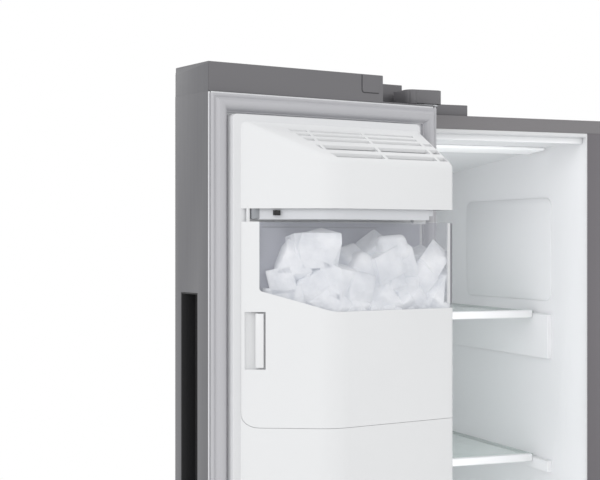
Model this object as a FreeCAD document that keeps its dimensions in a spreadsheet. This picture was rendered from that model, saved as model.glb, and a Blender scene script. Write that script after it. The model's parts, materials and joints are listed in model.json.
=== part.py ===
"""Side by side refrigerator with an ice maker on the inside of its freezer door.

Frame: the origin is on the floor, in the middle of the cabinet's width, below its front edge.
+X runs towards the fridge side, +Y to the back, +Z up. Every length is in millimetres.
Both doors are drawn shut and then swung open about their hinge pins by their Placement.
"""

import FreeCAD, Part

import math
import os
from types import SimpleNamespace

import Sketcher

DIMENSIONS = {
    # cabinet shell
    "cabinet_width": 912,
    "cabinet_depth": 730,
    "cabinet_top": 1740,
    "cabinet_base": 60,
    "metal": 1,
    "frame_strip": 22,
    "bottom_rail": 56,
    "liner_flange": 14,
    "ceiling_flange": 6,
    "liner_wall": 2,
    "freezer_inside": 342,
    "mullion_width": 52,
    "compartment_depth": 650,
    "ceiling_drop": 53,
    "machine_front": 500,
    "machine_top": 330,
    "step_front": 450,
    "step_top": 380,
    # fittings inside the compartments
    "ledge": 8,
    "ledge_height": 78,
    "low_ledge_height": 20,
    "ledge_front": 108,
    "freezer_shelf_below_top": 332,
    "freezer_shelf_pitch": 260,
    "fridge_shelf_below_top": 300,
    "fridge_shelf_pitch": 240,
    "shelf_glass": 4,
    "shelf_front": 168,
    "shelf_back": 540,
    "trim_height": 14,
    "trim_depth": 12,
    "fit_gap": 0.3,
    "drawer_front": 130,
    "drawer_base": 140,
    "drawer_lower_top": 372,
    "drawer_upper_base": 392,
    "freezer_drawer_top": 600,
    "crisper_top": 690,
    "drawer_lower_back": 440,
    "drawer_inset": 12,
    "drawer_wall": 2.5,
    "drawer_lip": 16,
    "back_cover_front": 570,
    "back_cover_wall": 3,
    "light_front": 120,
    "light_depth": 52,
    "light_height": 5,
    # doors
    "freezer_door_width": 400,
    "door_gap": 8,
    "door_thickness": 95.3,
    "door_base": 70,
    "base_cap_top": 95,
    "skin_above_top": 1,
    "cap_above_top": 42,
    "skin_return": 4,
    "gasket_gap": 14,
    "seal_gap": 1,
    "gasket_inset": 3,
    "gasket_width": 25,
    "step_inset": 28.5,
    "step_hinge_inset": 46,
    "step_height": 20,
    "step_rail": 18,
    "mouth_clearance": 2,
    "handle_top_below_top": 277,
    "handle_base": 762,
    "handle_from_back": 30,
    "handle_width": 48,
    "handle_depth": 25,
    "pocket_wall": 2,
    "bin_height": 105,
    "bin_depth": 95,
    "bin_wall": 3,
    # hinges
    "open_angle": 168.06,
    "pin_cover": 7.7,
    "pivot_from_front": 47.2,
    "pin_radius": 5.5,
    "pin_clearance": 0.05,
    "notch_length": 100.5,
    "notch_above_top": 3,
    "notch_wall": 12,
    "hinge_plate": 4,
    "hinge_gap": 2,
    "hinge_neck_near": 22,
    "hinge_neck_far": 57,
    "hinge_head_back": 34,
    "hinge_cover_above_top": 28,
    "hinge_cover_front": 93,
    "hinge_cover_overhang": 5,
    "hinge_cover_length": 155,
    "hinge_cover_rear_above_top": 18,
    "hinge_cover_back": 95,
    "hinge_cover_wall": 2,
    # ice maker
    "ice_left": 40,
    "ice_right": 354,
    "ice_depth": 100,
    "facet_end": 142,
    "facet_round": 60,
    "ice_corner": 8,
    "ice_wall": 3,
    "housing_base_below_top": 160,
    "housing_top_below_top": 40,
    "housing_front_top_below_top": 94,
    "bucket_top_below_top": 178,
    "window_base_below_top": 302,
    "window_left": 62,
    "bucket_base_below_top": 460.7,
    "cover_base_below_top": 560,
    "ice_top_below_top": 220,
    "auger_height_below_top": 405,
    "auger_radius": 22,
    "shaft_radius": 4,
    "tray_pivot_height_below_top": 132,
    "tray_pivot_depth": 60,
    "latch_base_below_top": 381,
    "latch_top_below_top": 302,
    "latch_left": 50,
    "latch_right": 76,
    "latch_depth": 6,
    # dispenser
    "dispenser_left": 120,
    "dispenser_right": 280,
    "dispenser_base_below_top": 790,
    "dispenser_top_below_top": 560,
    "dispenser_depth": 66,
    "panel_top_below_top": 460,
    # machine room
    "roller_radius": 20,
    "roller_place": 650,
    "foot_radius": 22,
    "foot_place": 50,
    "stud_radius": 6,
    "rail_width": 40,
    "compressor_radius": 80,
    "fan_radius": 62,
    "filter_radius": 30,
}

doc = FreeCAD.newDocument("side_by_side_refrigerator")
sheet = doc.addObject("Spreadsheet::Sheet", "Dim")
for row, (name, value) in enumerate(DIMENSIONS.items(), 1):
    sheet.set(f"A{row}", name)
    sheet.set(f"B{row}", str(value))
    sheet.setAlias(f"B{row}", name)


class Size:
    """A length that carries its number and the sheet expression that gives it."""

    def __init__(self, value, text=None):
        self.value = float(value)
        self.text = text or repr(float(value))

    def joined(self, sign, other, value):
        return Size(value, f"({self.text} {sign} {other.text})")

    def __add__(self, other):
        other = size(other)
        return self.joined("+", other, self.value + other.value)

    def __sub__(self, other):
        other = size(other)
        return self.joined("-", other, self.value - other.value)

    def __mul__(self, other):
        other = size(other)
        return self.joined("*", other, self.value * other.value)

    def __truediv__(self, other):
        other = size(other)
        return self.joined("/", other, self.value / other.value)

    def __radd__(self, other):
        return size(other) + self

    def __rsub__(self, other):
        return size(other) - self

    def __rmul__(self, other):
        return size(other) * self

    def __neg__(self):
        return size(0) - self

    def root(self):
        return Size(math.sqrt(self.value), f"sqrt({self.text})")


def size(length):
    return length if isinstance(length, Size) else Size(length)


d = SimpleNamespace(**{name: Size(value, f"Dim.{name}") for name, value in DIMENSIONS.items()})

# Heights measured down from the cabinet's top, and up from it.
for name in DIMENSIONS:
    if name.endswith("_below_top"):
        setattr(d, name.removesuffix("_below_top"), d.cabinet_top - getattr(d, name))
d.skin_top = d.cabinet_top + d.skin_above_top
d.cap_top = d.cabinet_top + d.cap_above_top
d.notch_floor = d.cabinet_top + d.notch_above_top
d.hinge_cover_top = d.cabinet_top + d.hinge_cover_above_top
d.hinge_cover_rear_top = d.cabinet_top + d.hinge_cover_rear_above_top

# The hinge pins stand clear of the door's outer face and of its hinge edge.
d.pivot_inset = d.pin_radius + d.pin_cover
d.pivot_depth = d.door_thickness - d.pivot_from_front
pieces = []

# ---------------------------------------------------------------- drawing tools

ORIGIN_PLANES = {"X": "YZ_Plane", "Y": "XZ_Plane", "Z": "XY_Plane"}
START, END, CENTRE = 1, 2, 3
SKETCH_ORIGIN = (-1, START)


class Drawing:
    """What one sketch will hold, gathered first so that it is solved once."""

    def __init__(self):
        self.geometry, self.marks, self.rules, self.ties = [], [], [], []

    def place(self, shape):
        self.geometry.append(shape)
        return len(self.geometry) - 1

    def rule(self, kind, *what):
        self.rules.append(Sketcher.Constraint(kind, *what))

    def tie(self, kind, *what, length):
        """A dimension whose value follows the sheet."""
        self.ties.append((len(self.rules), length.text))
        self.rule(kind, *what, length.value)

    def tie_point(self, geometry, point, a, b):
        self.tie("DistanceX", *SKETCH_ORIGIN, geometry, point, length=a)
        self.tie("DistanceY", *SKETCH_ORIGIN, geometry, point, length=b)

    def fill(self, sketch):
        sketch.addGeometry(self.geometry, False)
        for mark in self.marks:
            sketch.toggleConstruction(mark)
        sketch.addConstraint(self.rules)
        for index, text in self.ties:
            sketch.setExpression(f"Constraints[{index}]", text)


def loop(*corners):
    """A closed outline through corners (a, b) or, where it is rounded, (a, b, radius)."""

    def draw(drawing):
        count = len(corners)
        ends = [FreeCAD.Vector(size(c[0]).value, size(c[1]).value, 0) for c in corners]
        radii = [size(c[2]) if len(c) > 2 and c[2] is not None else None for c in corners]
        marks = [drawing.place(Part.Point(end)) for end in ends]
        drawing.marks += marks
        for corner, mark in zip(corners, marks):
            drawing.tie_point(mark, START, size(corner[0]), size(corner[1]))
        back = [(ends[i - 1] - ends[i]).normalize() for i in range(count)]
        onward = [(ends[(i + 1) % count] - ends[i]).normalize() for i in range(count)]
        half = [back[i].getAngle(onward[i]) / 2 for i in range(count)]
        trim = [radii[i].value / math.tan(half[i]) if radii[i] else 0 for i in range(count)]
        lines = []
        for i in range(count):
            j = (i + 1) % count
            line = Part.LineSegment(ends[i] + onward[i] * trim[i], ends[j] + back[j] * trim[j])
            lines.append(drawing.place(line))
        for i in range(count):
            before, after, mark = lines[i - 1], lines[i], marks[i]
            if not radii[i]:
                drawing.rule("Coincident", before, END, mark, START)
                drawing.rule("Coincident", after, START, mark, START)
                continue
            first, last = ends[i] + back[i] * trim[i], ends[i] + onward[i] * trim[i]
            inward = (back[i] + onward[i]).normalize()
            reach = radii[i].value / math.sin(half[i]) - radii[i].value
            turns_left = back[i].cross(onward[i]).z < 0
            if not turns_left:
                first, last = last, first
            arc = drawing.place(Part.Arc(first, ends[i] + inward * reach, last))
            near, far = (START, END) if turns_left else (END, START)
            for line in (before, after):
                drawing.rule("PointOnObject", mark, START, line)
            drawing.rule("Tangent", before, END, arc, near)
            drawing.rule("Tangent", arc, far, after, START)
            drawing.tie("Radius", arc, length=radii[i])

    return draw


def disc(a, b, radius):
    """A round outline."""
    a, b, radius = size(a), size(b), size(radius)

    def draw(drawing):
        centre = FreeCAD.Vector(a.value, b.value, 0)
        circle = drawing.place(Part.Circle(centre, FreeCAD.Vector(0, 0, 1), radius.value))
        drawing.tie_point(circle, CENTRE, a, b)
        drawing.tie("Radius", circle, length=radius)

    return draw


def rect(a0, a1, b0, b1, radius=None):
    """A rectangle between two values of each coordinate, with rounded corners if a radius is given."""
    corner = (radius,) if radius else ()
    return loop((a0, b0, *corner), (a1, b0, *corner), (a1, b1, *corner), (a0, b1, *corner))


def feature(body, kind, axis, start, end, outlines):
    """A pad or pocket of outlines drawn square to an axis, from start to end along it."""
    start, end = sorted((size(start), size(end)), key=lambda place: place.value)
    sketch = body.newObject("Sketcher::SketchObject", f"{body.Name}_outline")
    plane = next(f for f in body.Origin.OriginFeatures if f.Role == ORIGIN_PLANES[axis])
    sketch.AttachmentSupport = [(plane, "")]
    sketch.MapMode = "FlatFace"
    sketch.setExpression("AttachmentOffset.Base.z", (-start if axis == "Y" else start).text)
    drawing = Drawing()
    for outline in outlines:
        outline(drawing)
    drawing.fill(sketch)
    made = body.newObject(f"PartDesign::{kind}", f"{body.Name}_{kind.lower()}")
    made.Profile = sketch
    made.setExpression("Length", (end - start).text)
    made.Reversed = (axis == "Y") == (kind == "Pad")
    return made


def add(body, axis, start, end, *outlines):
    return feature(body, "Pad", axis, start, end, outlines)


def cut(body, axis, start, end, *outlines):
    return feature(body, "Pocket", axis, start, end, outlines)


def repeat(body, made, axis, pitch, count):
    """Repeat a feature at even steps along an axis."""
    row_of = body.newObject("PartDesign::LinearPattern", f"{body.Name}_row")
    row_of.Originals = [made]
    direction = next(f for f in body.Origin.OriginFeatures if f.Role == f"{axis}_Axis")
    row_of.Direction = (direction, [""])
    row_of.setExpression("Length", (size(pitch) * (count - 1)).text)
    row_of.Occurrences = count
    body.Tip = row_of


def piece(label, placement=None):
    """A sub-part of the refrigerator, in the node that its label names."""
    body = doc.addObject("PartDesign::Body", label)
    body.Label = label
    body.AllowCompound = True
    if placement:
        body.setExpression("Placement", placement)
    pieces.append(body)
    return body


def moved(x, y, z):
    """A Placement that carries a piece drawn round its own axis to its place."""
    centre = "; ".join(size(value).text for value in (x, y, z))
    return f"create(<<placement>>; create(<<vector>>; {centre}); create(<<rotation>>; 0; 0; 0))"


# ---------------------------------------------------------------- lines shared by the pieces

left = -d.cabinet_width / 2
right = d.cabinet_width / 2
top = d.cabinet_top
base = d.cabinet_base
opening_inset = d.frame_strip + d.liner_flange
compartment_top = top - d.frame_strip - d.ceiling_flange
compartment_base = base + d.bottom_rail + d.liner_flange
freezer_left = left + opening_inset
freezer_right = freezer_left + d.freezer_inside
fridge_left = freezer_right + d.mullion_width
fridge_right = right - opening_inset
back_sheet = d.cabinet_depth - d.metal


def ceiling(y, drop):
    """Height of a compartment's ceiling at a depth, sloping down to the back by drop."""
    return compartment_top - drop * y / d.compartment_depth


def compartment(margin, drop):
    """Side view of a compartment, from its open front to its back, grown by a margin."""
    deep = d.compartment_depth + margin
    return loop(
        (0, compartment_base - margin),
        (d.step_front + margin, compartment_base - margin),
        (d.step_front + margin, d.step_top - margin),
        (deep, d.step_top - margin),
        (deep, ceiling(d.compartment_depth, drop) + margin),
        (0, compartment_top + margin),
    )


# ---------------------------------------------------------------- cabinet

wrapper = piece("cabinet_wrapper")
add(wrapper, "Y", 0, back_sheet, rect(left, right, base, top))
cut(wrapper, "Y", d.metal, back_sheet, rect(left + d.metal, right - d.metal, base + d.metal, top - d.metal))
cut(wrapper, "Y", 0, d.metal, rect(left + d.frame_strip, right - d.frame_strip,
                                   base + d.bottom_rail, top - d.frame_strip))
cut(wrapper, "Z", base, base + d.metal, rect(left + d.metal, right - d.metal, d.machine_front, back_sheet))

back_panel = piece("back_panel")
add(back_panel, "Y", back_sheet, d.cabinet_depth, rect(left, right, d.machine_top, top))

LOUVRES = 9
machine_cover = piece("machine_cover")
add(machine_cover, "Y", back_sheet, d.cabinet_depth, rect(left, right, base, d.machine_top))
for column in (-330, -110):
    louvre = cut(machine_cover, "Y", back_sheet, d.cabinet_depth,
                 rect(column, column + 150, base + 50, base + 56, 2.9))
    repeat(machine_cover, louvre, "Z", 20, LOUVRES)
for hole in ((300, 200), (360, 160)):
    cut(machine_cover, "Y", back_sheet, d.cabinet_depth, disc(hole[0], hole[1], 12))

foam_left, foam_right = left + d.metal, right - d.metal
foam = piece("cabinet_foam")
add(foam, "X", foam_left, foam_right, loop(
    (d.liner_wall, base + d.metal),
    (d.machine_front, base + d.metal),
    (d.machine_front, d.machine_top),
    (back_sheet, d.machine_top),
    (back_sheet, top - d.metal),
    (d.liner_wall, top - d.metal),
))
cut(foam, "X", freezer_left - d.liner_wall, freezer_right + d.liner_wall,
    compartment(d.liner_wall, d.ceiling_drop))
cut(foam, "X", fridge_left - d.liner_wall, fridge_right + d.liner_wall, compartment(d.liner_wall, size(0)))

mullion = piece("mullion_strip")
add(mullion, "Y", 0, d.liner_wall, rect(freezer_right + d.liner_flange, fridge_left - d.liner_flange,
                                        compartment_base - d.liner_flange, compartment_top + d.ceiling_flange))


def runner(body, x_wall, inward, drawer_top, back):
    """A strip on a compartment's wall, under one flange of a drawer."""
    low = drawer_top - d.drawer_wall - d.fit_gap - 6
    add(body, "Y", d.drawer_front, back, rect(x_wall, x_wall + inward * (d.drawer_inset - 3), low, low + 6))


def liner(label, x_left, x_right, drop, shelf_tops, drawers):
    """A compartment's inner box, with its front flange, shelf ledges and drawer runners."""
    body = piece(label)
    wall = d.liner_wall
    flange = d.liner_flange
    add(body, "X", x_left - wall, x_right + wall, compartment(wall, drop))
    add(body, "Y", 0, wall, rect(x_left - flange, x_right + flange,
                                 compartment_base - flange, compartment_top + d.ceiling_flange))
    cut(body, "X", x_left, x_right, compartment(size(0), drop))
    for x_wall, inward in ((x_left, 1), (x_right, -1)):
        for shelf_top in shelf_tops:
            under = shelf_top - d.shelf_glass - d.fit_gap
            tall = d.ledge_height if shelf_top is shelf_tops[0] else d.low_ledge_height
            add(body, "Y", d.ledge_front, d.shelf_back,
                rect(x_wall, x_wall + inward * d.ledge, under - tall, under))
        for drawer_top, back in drawers:
            runner(body, x_wall, inward, drawer_top, back)
    return body


FREEZER_SHELVES = FRIDGE_SHELVES = 4
freezer_shelves = [d.freezer_shelf - step * d.freezer_shelf_pitch for step in range(FREEZER_SHELVES)]
fridge_shelves = [d.fridge_shelf - step * d.fridge_shelf_pitch for step in range(FRIDGE_SHELVES)]
freezer_liner = liner("freezer_liner", freezer_left, freezer_right, d.ceiling_drop, freezer_shelves,
                      ((d.drawer_lower_top, d.drawer_lower_back), (d.freezer_drawer_top, d.shelf_back)))
fridge_liner = liner("fridge_liner", fridge_left, fridge_right, size(0), fridge_shelves,
                     ((d.drawer_lower_top, d.drawer_lower_back), (d.crisper_top, d.shelf_back)))

glass = piece("shelf_glass")
trims = piece("shelf_trims")
for x_left, x_right, shelf_tops in ((freezer_left, freezer_right, freezer_shelves),
                                    (fridge_left, fridge_right, fridge_shelves)):
    for shelf_top in shelf_tops:
        under = shelf_top - d.shelf_glass
        span = rect(x_left + d.fit_gap, x_right - d.fit_gap, d.shelf_front, d.shelf_back)
        add(glass, "Z", under, shelf_top, span)
        beside = d.ledge + d.fit_gap
        add(trims, "X", x_left + beside, x_right - beside,
            rect(d.shelf_front - d.trim_depth, d.shelf_front, shelf_top + 2 - d.trim_height, shelf_top + 2, 3))

lights = piece("ceiling_lights")
light_back = d.light_front + d.light_depth
for x_left, x_right, drop in ((freezer_left, freezer_right, d.ceiling_drop),
                              (fridge_left, fridge_right, size(0))):
    front_z = ceiling(d.light_front, drop) - d.fit_gap
    back_z = ceiling(light_back, drop) - d.fit_gap
    add(lights, "X", x_left + 12, x_right - 6, loop(
        (d.light_front, front_z),
        (light_back, back_z),
        (light_back, back_z - d.light_height),
        (d.light_front, front_z - d.light_height),
    ))

back_cover = piece("freezer_back_cover")
cover_back = d.back_cover_front + d.back_cover_wall
add(back_cover, "Y", d.back_cover_front, cover_back, rect(
    freezer_left + d.fit_gap, freezer_right - d.fit_gap,
    d.step_top + d.fit_gap, ceiling(cover_back, d.ceiling_drop) - d.fit_gap))
freezer_middle = (freezer_left + freezer_right) / 2
for low in (1250, 480):
    vent = cut(back_cover, "Y", d.back_cover_front, cover_back,
               rect(freezer_middle - 90, freezer_middle + 90, low, low + 8, 3.9))
    repeat(back_cover, vent, "Z", 18, 5)

# ---------------------------------------------------------------- cold circuit and machine room

EVAPORATOR_FINS, EVAPORATOR_ROWS = 14, 7
evaporator = piece("evaporator")
coil_front, coil_back = cover_back + 14, d.compartment_depth - 12
coil_base, coil_step = 800, 50
fin = add(evaporator, "X", freezer_left + 30, freezer_left + 31.5,
          rect(coil_front, coil_back, coil_base, coil_base + coil_step * EVAPORATOR_ROWS))
repeat(evaporator, fin, "X", (d.freezer_inside - 61.5) / (EVAPORATOR_FINS - 1), EVAPORATOR_FINS)
for tube_row in range(EVAPORATOR_ROWS):
    height = coil_base + coil_step * (tube_row + 0.5)
    add(evaporator, "X", freezer_left + 20, freezer_right - 20,
        disc(coil_front + 14, height, 4), disc(coil_back - 14, height, 4))
for side in (freezer_left + 20, freezer_right - 24):
    add(evaporator, "X", side, side + 4,
        rect(coil_front, d.compartment_depth, coil_base, coil_base + coil_step * EVAPORATOR_ROWS))

tray_top = base + 2
CONDENSER_FINS = 14
condenser = piece("condenser")
fin = add(condenser, "X", -330, -328.5, rect(545, 685, tray_top, 225))
repeat(condenser, fin, "X", 20, CONDENSER_FINS)
for height in (90, 130, 170, 210):
    add(condenser, "X", -340, -60, disc(580, height, 4), disc(650, height, 4))

compressor = piece("compressor")
compressor_x, compressor_y = 200, 615
for side in (-1, 1):
    add(compressor, "Z", tray_top, tray_top + 10,
        disc(compressor_x + side * 80, compressor_y, 14))
add(compressor, "Z", tray_top + 10, tray_top + 14,
    rect(compressor_x - 105, compressor_x + 105, compressor_y - 45, compressor_y + 45, 12))
add(compressor, "Z", tray_top + 14, tray_top + 120, disc(compressor_x, compressor_y, d.compressor_radius))
add(compressor, "Z", tray_top + 120, tray_top + 142,
    disc(compressor_x, compressor_y, d.compressor_radius - 14))
add(compressor, "Z", tray_top + 142, tray_top + 156,
    disc(compressor_x, compressor_y, d.compressor_radius - 40))

fan_y, fan_z = 615, 145
motors = piece("fan_motors")
add(motors, "Z", tray_top, fan_z, rect(-8, 12, fan_y - 12, fan_y + 12))
add(motors, "X", -10, 24, disc(fan_y, fan_z, 26))
add(motors, "X", -42, -10, disc(fan_y, fan_z, d.shaft_radius))
cold_fan_z = 1440
add(motors, "Y", 615, d.compartment_depth, disc(freezer_middle, cold_fan_z, 26))
add(motors, "Y", 586, 615, disc(freezer_middle, cold_fan_z, d.shaft_radius))


def fan(label, x, y, z, axis):
    """A bladed wheel on a hub that runs on a motor's shaft, drawn round the origin."""
    body = piece(label, moved(x, y, z))
    add(body, axis, -10, 10, disc(0, 0, 14))
    length = d.fan_radius
    swept = {"X": ("Y", loop((-9, -12), (-7, -12), (9, 12), (7, 12))),
             "Y": ("X", loop((-9, -12), (-7, -12), (9, 12), (7, 12)))}[axis]
    blade = add(body, swept[0], 10, length, swept[1])
    ring = body.newObject("PartDesign::PolarPattern", f"{label}_blades")
    ring.Originals = [blade]
    ring.Axis = (next(f for f in body.Origin.OriginFeatures if f.Role == f"{axis}_Axis"), [""])
    ring.Angle = 360
    ring.Occurrences = 5
    body.Tip = ring
    cut(body, axis, -10, 10, disc(0, 0, d.shaft_radius + d.pin_clearance))
    return body


fan("condenser_fan", -30, fan_y, fan_z, "X")
fan("evaporator_fan", freezer_middle, 598, cold_fan_z, "Y")

rail_outer = d.cabinet_width / 2 - 4
rail_inner = rail_outer - d.rail_width
frame_base = 30
base_frame = piece("base_frame")
for side in (-1, 1):
    add(base_frame, "Y", 0, d.cabinet_depth - 10, rect(side * rail_outer, side * rail_inner, frame_base, base))
    cut(base_frame, "Y", 0, d.cabinet_depth - 10,
        rect(side * (rail_outer - 2), side * (rail_inner + 2), frame_base, base - 2))
add(base_frame, "Y", 0, 2, rect(-rail_inner, rail_inner, frame_base, base))
add(base_frame, "Z", base - 2, base, rect(-rail_outer, rail_outer, 0, 90))
add(base_frame, "Z", base, tray_top, rect(left + 4, right - 4, d.machine_front + 4, back_sheet - 4))
add(base_frame, "Z", base - 4, base, rect(-rail_inner, rail_inner, d.machine_front + 4, back_sheet - 12))
for side in (-1, 1):
    for x_wall in (rail_outer - 2, rail_inner):
        add(base_frame, "X", side * x_wall, side * (x_wall + 2),
            rect(d.roller_place - 16, d.roller_place + 16, d.roller_radius - 10, base))
    cut(base_frame, "X", side * (rail_inner - 1), side * (rail_outer + 1),
        disc(d.roller_place, d.roller_radius, 5 + d.pin_clearance))
    foot_x = side * (rail_outer + rail_inner) / 2
    add(base_frame, "Z", base - 12, base, disc(foot_x, d.foot_place, d.stud_radius + 5))
    cut(base_frame, "Z", base - 12, base, disc(foot_x, d.foot_place, d.stud_radius + d.pin_clearance))

rollers = piece("rear_rollers", moved(0, d.roller_place, d.roller_radius))
for side in (-1, 1):
    middle = side * (rail_outer + rail_inner) / 2
    add(rollers, "X", middle - 12, middle + 12, disc(0, 0, d.roller_radius))
    add(rollers, "X", middle - d.rail_width / 2, middle + d.rail_width / 2, disc(0, 0, 5))

for label, side in (("foot_left", -1), ("foot_right", 1)):
    foot_x = side * (rail_outer + rail_inner) / 2
    foot = piece(label, moved(foot_x, d.foot_place, 0))
    add(foot, "Z", 0, 8, disc(0, 0, d.foot_radius))
    add(foot, "Z", 8, 16, loop(*[
        (14 * math.cos(math.radians(turn)), 14 * math.sin(math.radians(turn))) for turn in range(0, 360, 60)
    ]))
    add(foot, "Z", 16, base - 1, disc(0, 0, d.stud_radius))

GRILLE_SLOTS = 20
grille = piece("toe_grille")
add(grille, "Y", -10, 0, rect(-rail_inner, rail_inner, 14, base - 2, 4))
cut(grille, "Y", -7, 0, rect(-rail_inner + 3, rail_inner - 3, 17, base - 5))
slot_pitch = (2 * rail_inner - 60) / GRILLE_SLOTS
slot = cut(grille, "Y", -10, 0, rect(-rail_inner + 34, -rail_inner + 30 + slot_pitch - 6, 24, 46, 3))
repeat(grille, slot, "X", slot_pitch, GRILLE_SLOTS)
add(grille, "Y", -7, 0, rect(-rail_inner, -rail_inner + 8, 30, 50), rect(rail_inner - 8, rail_inner, 30, 50))

fittings = piece("rear_fittings")
add(fittings, "Y", back_sheet, d.cabinet_depth + 3, disc(300, 200, 11.9))
add(fittings, "Y", d.cabinet_depth, d.cabinet_depth + 3, disc(300, 200, 15))
add(fittings, "Y", d.cabinet_depth + 3, d.cabinet_depth + 22, disc(300, 200, 6.35))
add(fittings, "Y", back_sheet, d.cabinet_depth + 3, disc(360, 160, 11.9))
add(fittings, "Y", d.cabinet_depth, d.cabinet_depth + 4, disc(360, 160, 15))
cut(fittings, "Y", back_sheet, d.cabinet_depth + 4, disc(360, 160, 5))

filter_x, filter_z = fridge_right - 60, compartment_top - 70
socket_front = d.compartment_depth - 80
add(fridge_liner, "Y", socket_front, d.compartment_depth, rect(filter_x - 40, filter_x + 40,
                                                              filter_z - 40, filter_z + 40, 10))
cut(fridge_liner, "Y", socket_front, socket_front + 30, disc(filter_x, filter_z, 10 + d.pin_clearance))
water_filter = piece("water_filter", moved(filter_x, socket_front, filter_z))
add(water_filter, "Y", -150, -d.fit_gap, disc(0, 0, d.filter_radius))
add(water_filter, "Y", -168, -150, rect(-5, 5, -24, 24, 3))
add(water_filter, "Y", -d.fit_gap, 28, disc(0, 0, 10))


# ---------------------------------------------------------------- drawers

def drawer(label, x_left, x_right, low, high, back):
    """An open tub that hangs by its side flanges on the compartment's runners."""
    body = piece(label)
    inner_left, inner_right = x_left + d.drawer_inset, x_right - d.drawer_inset
    wall = d.drawer_wall
    front = d.drawer_front
    add(body, "Z", low, high, rect(inner_left, inner_right, front, back))
    add(body, "Z", high - wall, high, rect(x_left + 2, x_right - 2, front, back))
    add(body, "X", inner_left + 40, inner_right - 40, loop(
        (front - d.drawer_lip, high - 22), (front - d.drawer_lip, high), (front, high), (front, high - 30)))
    cut(body, "Z", low + wall, high, rect(inner_left + wall, inner_right - wall, front + 2 * wall, back - wall, 8))
    return body


drawer("freezer_drawer_upper", freezer_left, freezer_right, d.drawer_upper_base, d.freezer_drawer_top,
       d.shelf_back)
drawer("freezer_drawer_lower", freezer_left, freezer_right, d.drawer_base, d.drawer_lower_top,
       d.drawer_lower_back)
drawer("crisper_upper", fridge_left, fridge_right, d.drawer_upper_base, d.crisper_top, d.shelf_back)
drawer("crisper_lower", fridge_left, fridge_right, d.drawer_base, d.drawer_lower_top, d.drawer_lower_back)


# ---------------------------------------------------------------- doors

class Door:
    """A shut door: u runs in from its free edge, p stands out of its inner face into the cabinet."""

    def __init__(self, free, inward, width, turn):
        self.free, self.inward, self.width = free, inward, width
        self.hinge = free + inward * width
        self.pivot_x = self.hinge - inward * d.pivot_inset
        self.pivot_y = -d.gasket_gap - d.pivot_depth
        self.face = -d.gasket_gap - d.door_thickness
        self.placement = (
            "create(<<placement>>; create(<<vector>>; 0; 0; 0); "
            f"create(<<rotation>>; create(<<vector>>; 0; 0; 1); {turn} * Dim.open_angle); "
            f"create(<<vector>>; {self.pivot_x.text}; {self.pivot_y.text}; 0))"
        )

    def u(self, length):
        return self.free + self.inward * size(length)

    def p(self, length):
        return size(length) - d.gasket_gap

    def plan(self, *corners):
        return loop(*[(self.u(c[0]), self.p(c[1]), *c[2:]) for c in corners])

    def area(self, u0, u1, p0, p1, radius=None):
        return rect(self.u(u0), self.u(u1), self.p(p0), self.p(p1), radius)

    def front(self, u0, u1, z0, z1, radius=None):
        return rect(self.u(u0), self.u(u1), z0, z1, radius)

    def piece(self, label):
        return piece(label, self.placement)


freezer_door = Door(left + d.freezer_door_width, -1, d.freezer_door_width, -1)
fridge_door_width = d.cabinet_width - d.freezer_door_width - d.door_gap
fridge_door = Door(left + d.freezer_door_width + d.door_gap, 1, fridge_door_width, 1)

handle_end = d.handle_from_back + d.handle_width
boss_base = d.notch_floor - 28
boss_radius = d.pin_radius + 6


def door_skin(door, label):
    """Steel skin folded round both sides, with a short return at the back and a slot for the handle."""
    body = door.piece(label)
    metal, thick = d.metal, d.door_thickness
    add(body, "Z", d.base_cap_top, d.skin_top, door.area(0, door.width, -thick, 0))
    cut(body, "Z", d.base_cap_top, d.skin_top, door.area(metal, door.width - metal, metal - thick, -metal))
    cut(body, "Z", d.base_cap_top, d.skin_top,
        door.area(d.skin_return, door.width - d.skin_return, -metal, 0))
    cut(body, "X", door.u(0), door.u(metal),
        rect(door.p(-handle_end), door.p(-d.handle_from_back), d.handle_base, d.handle_top))
    return body


def door_top_cap(door, body):
    """Plastic top cap with the pocket that the hinge reaches into and the bush for its pin."""
    thick = d.door_thickness
    add(body, "Z", d.skin_top, d.cap_top, door.area(0, door.width, -thick, 0, 3))
    cut(body, "Z", d.notch_floor, d.cap_top,
        door.area(door.width - d.notch_length, door.width + 1, d.notch_wall - thick, 1))
    add(body, "Z", boss_base, d.notch_floor, disc(door.pivot_x, door.pivot_y, boss_radius))
    cut(body, "Z", boss_base + 2, d.notch_floor,
        disc(door.pivot_x, door.pivot_y, d.pin_radius + d.pin_clearance))


def door_base_cap(door, body):
    """Plastic bottom cap with the bush that stands on the lower hinge pin."""
    add(body, "Z", d.door_base, d.base_cap_top, door.area(0, door.width, -d.door_thickness, 0, 3))
    cut(body, "Z", d.door_base, d.base_cap_top - 2,
        disc(door.pivot_x, door.pivot_y, d.pin_radius + d.pin_clearance))


def door_foam(door, label):
    """Foam that fills the door between its skin and its liner."""
    body = door.piece(label)
    add(body, "Z", d.base_cap_top, d.skin_top,
        door.area(d.metal, door.width - d.metal, d.metal - d.door_thickness, -d.liner_wall))
    cut(body, "Z", boss_base, d.skin_top, disc(door.pivot_x, door.pivot_y, boss_radius))
    cut(body, "Z", d.handle_base, d.handle_top,
        door.area(d.metal, d.handle_depth, -handle_end, -d.handle_from_back))
    return body


def door_liner(door, label, step_right, field_top):
    """Inner face with a raised step, hollowed to a field where the door bins hang."""
    body = door.piece(label)
    low, high = compartment_base + d.mouth_clearance, compartment_top - d.mouth_clearance
    add(body, "Y", door.p(-d.liner_wall), door.p(0),
        door.front(d.skin_return, door.width - d.skin_return, d.base_cap_top, d.skin_top))
    add(body, "Y", door.p(0), door.p(d.step_height), door.front(d.step_inset, step_right, low, high, 6))
    cut(body, "Y", door.p(0), door.p(d.step_height),
        door.front(d.step_inset + d.step_rail, step_right - d.step_rail, low + d.step_rail, field_top, 6))
    return body


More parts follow.
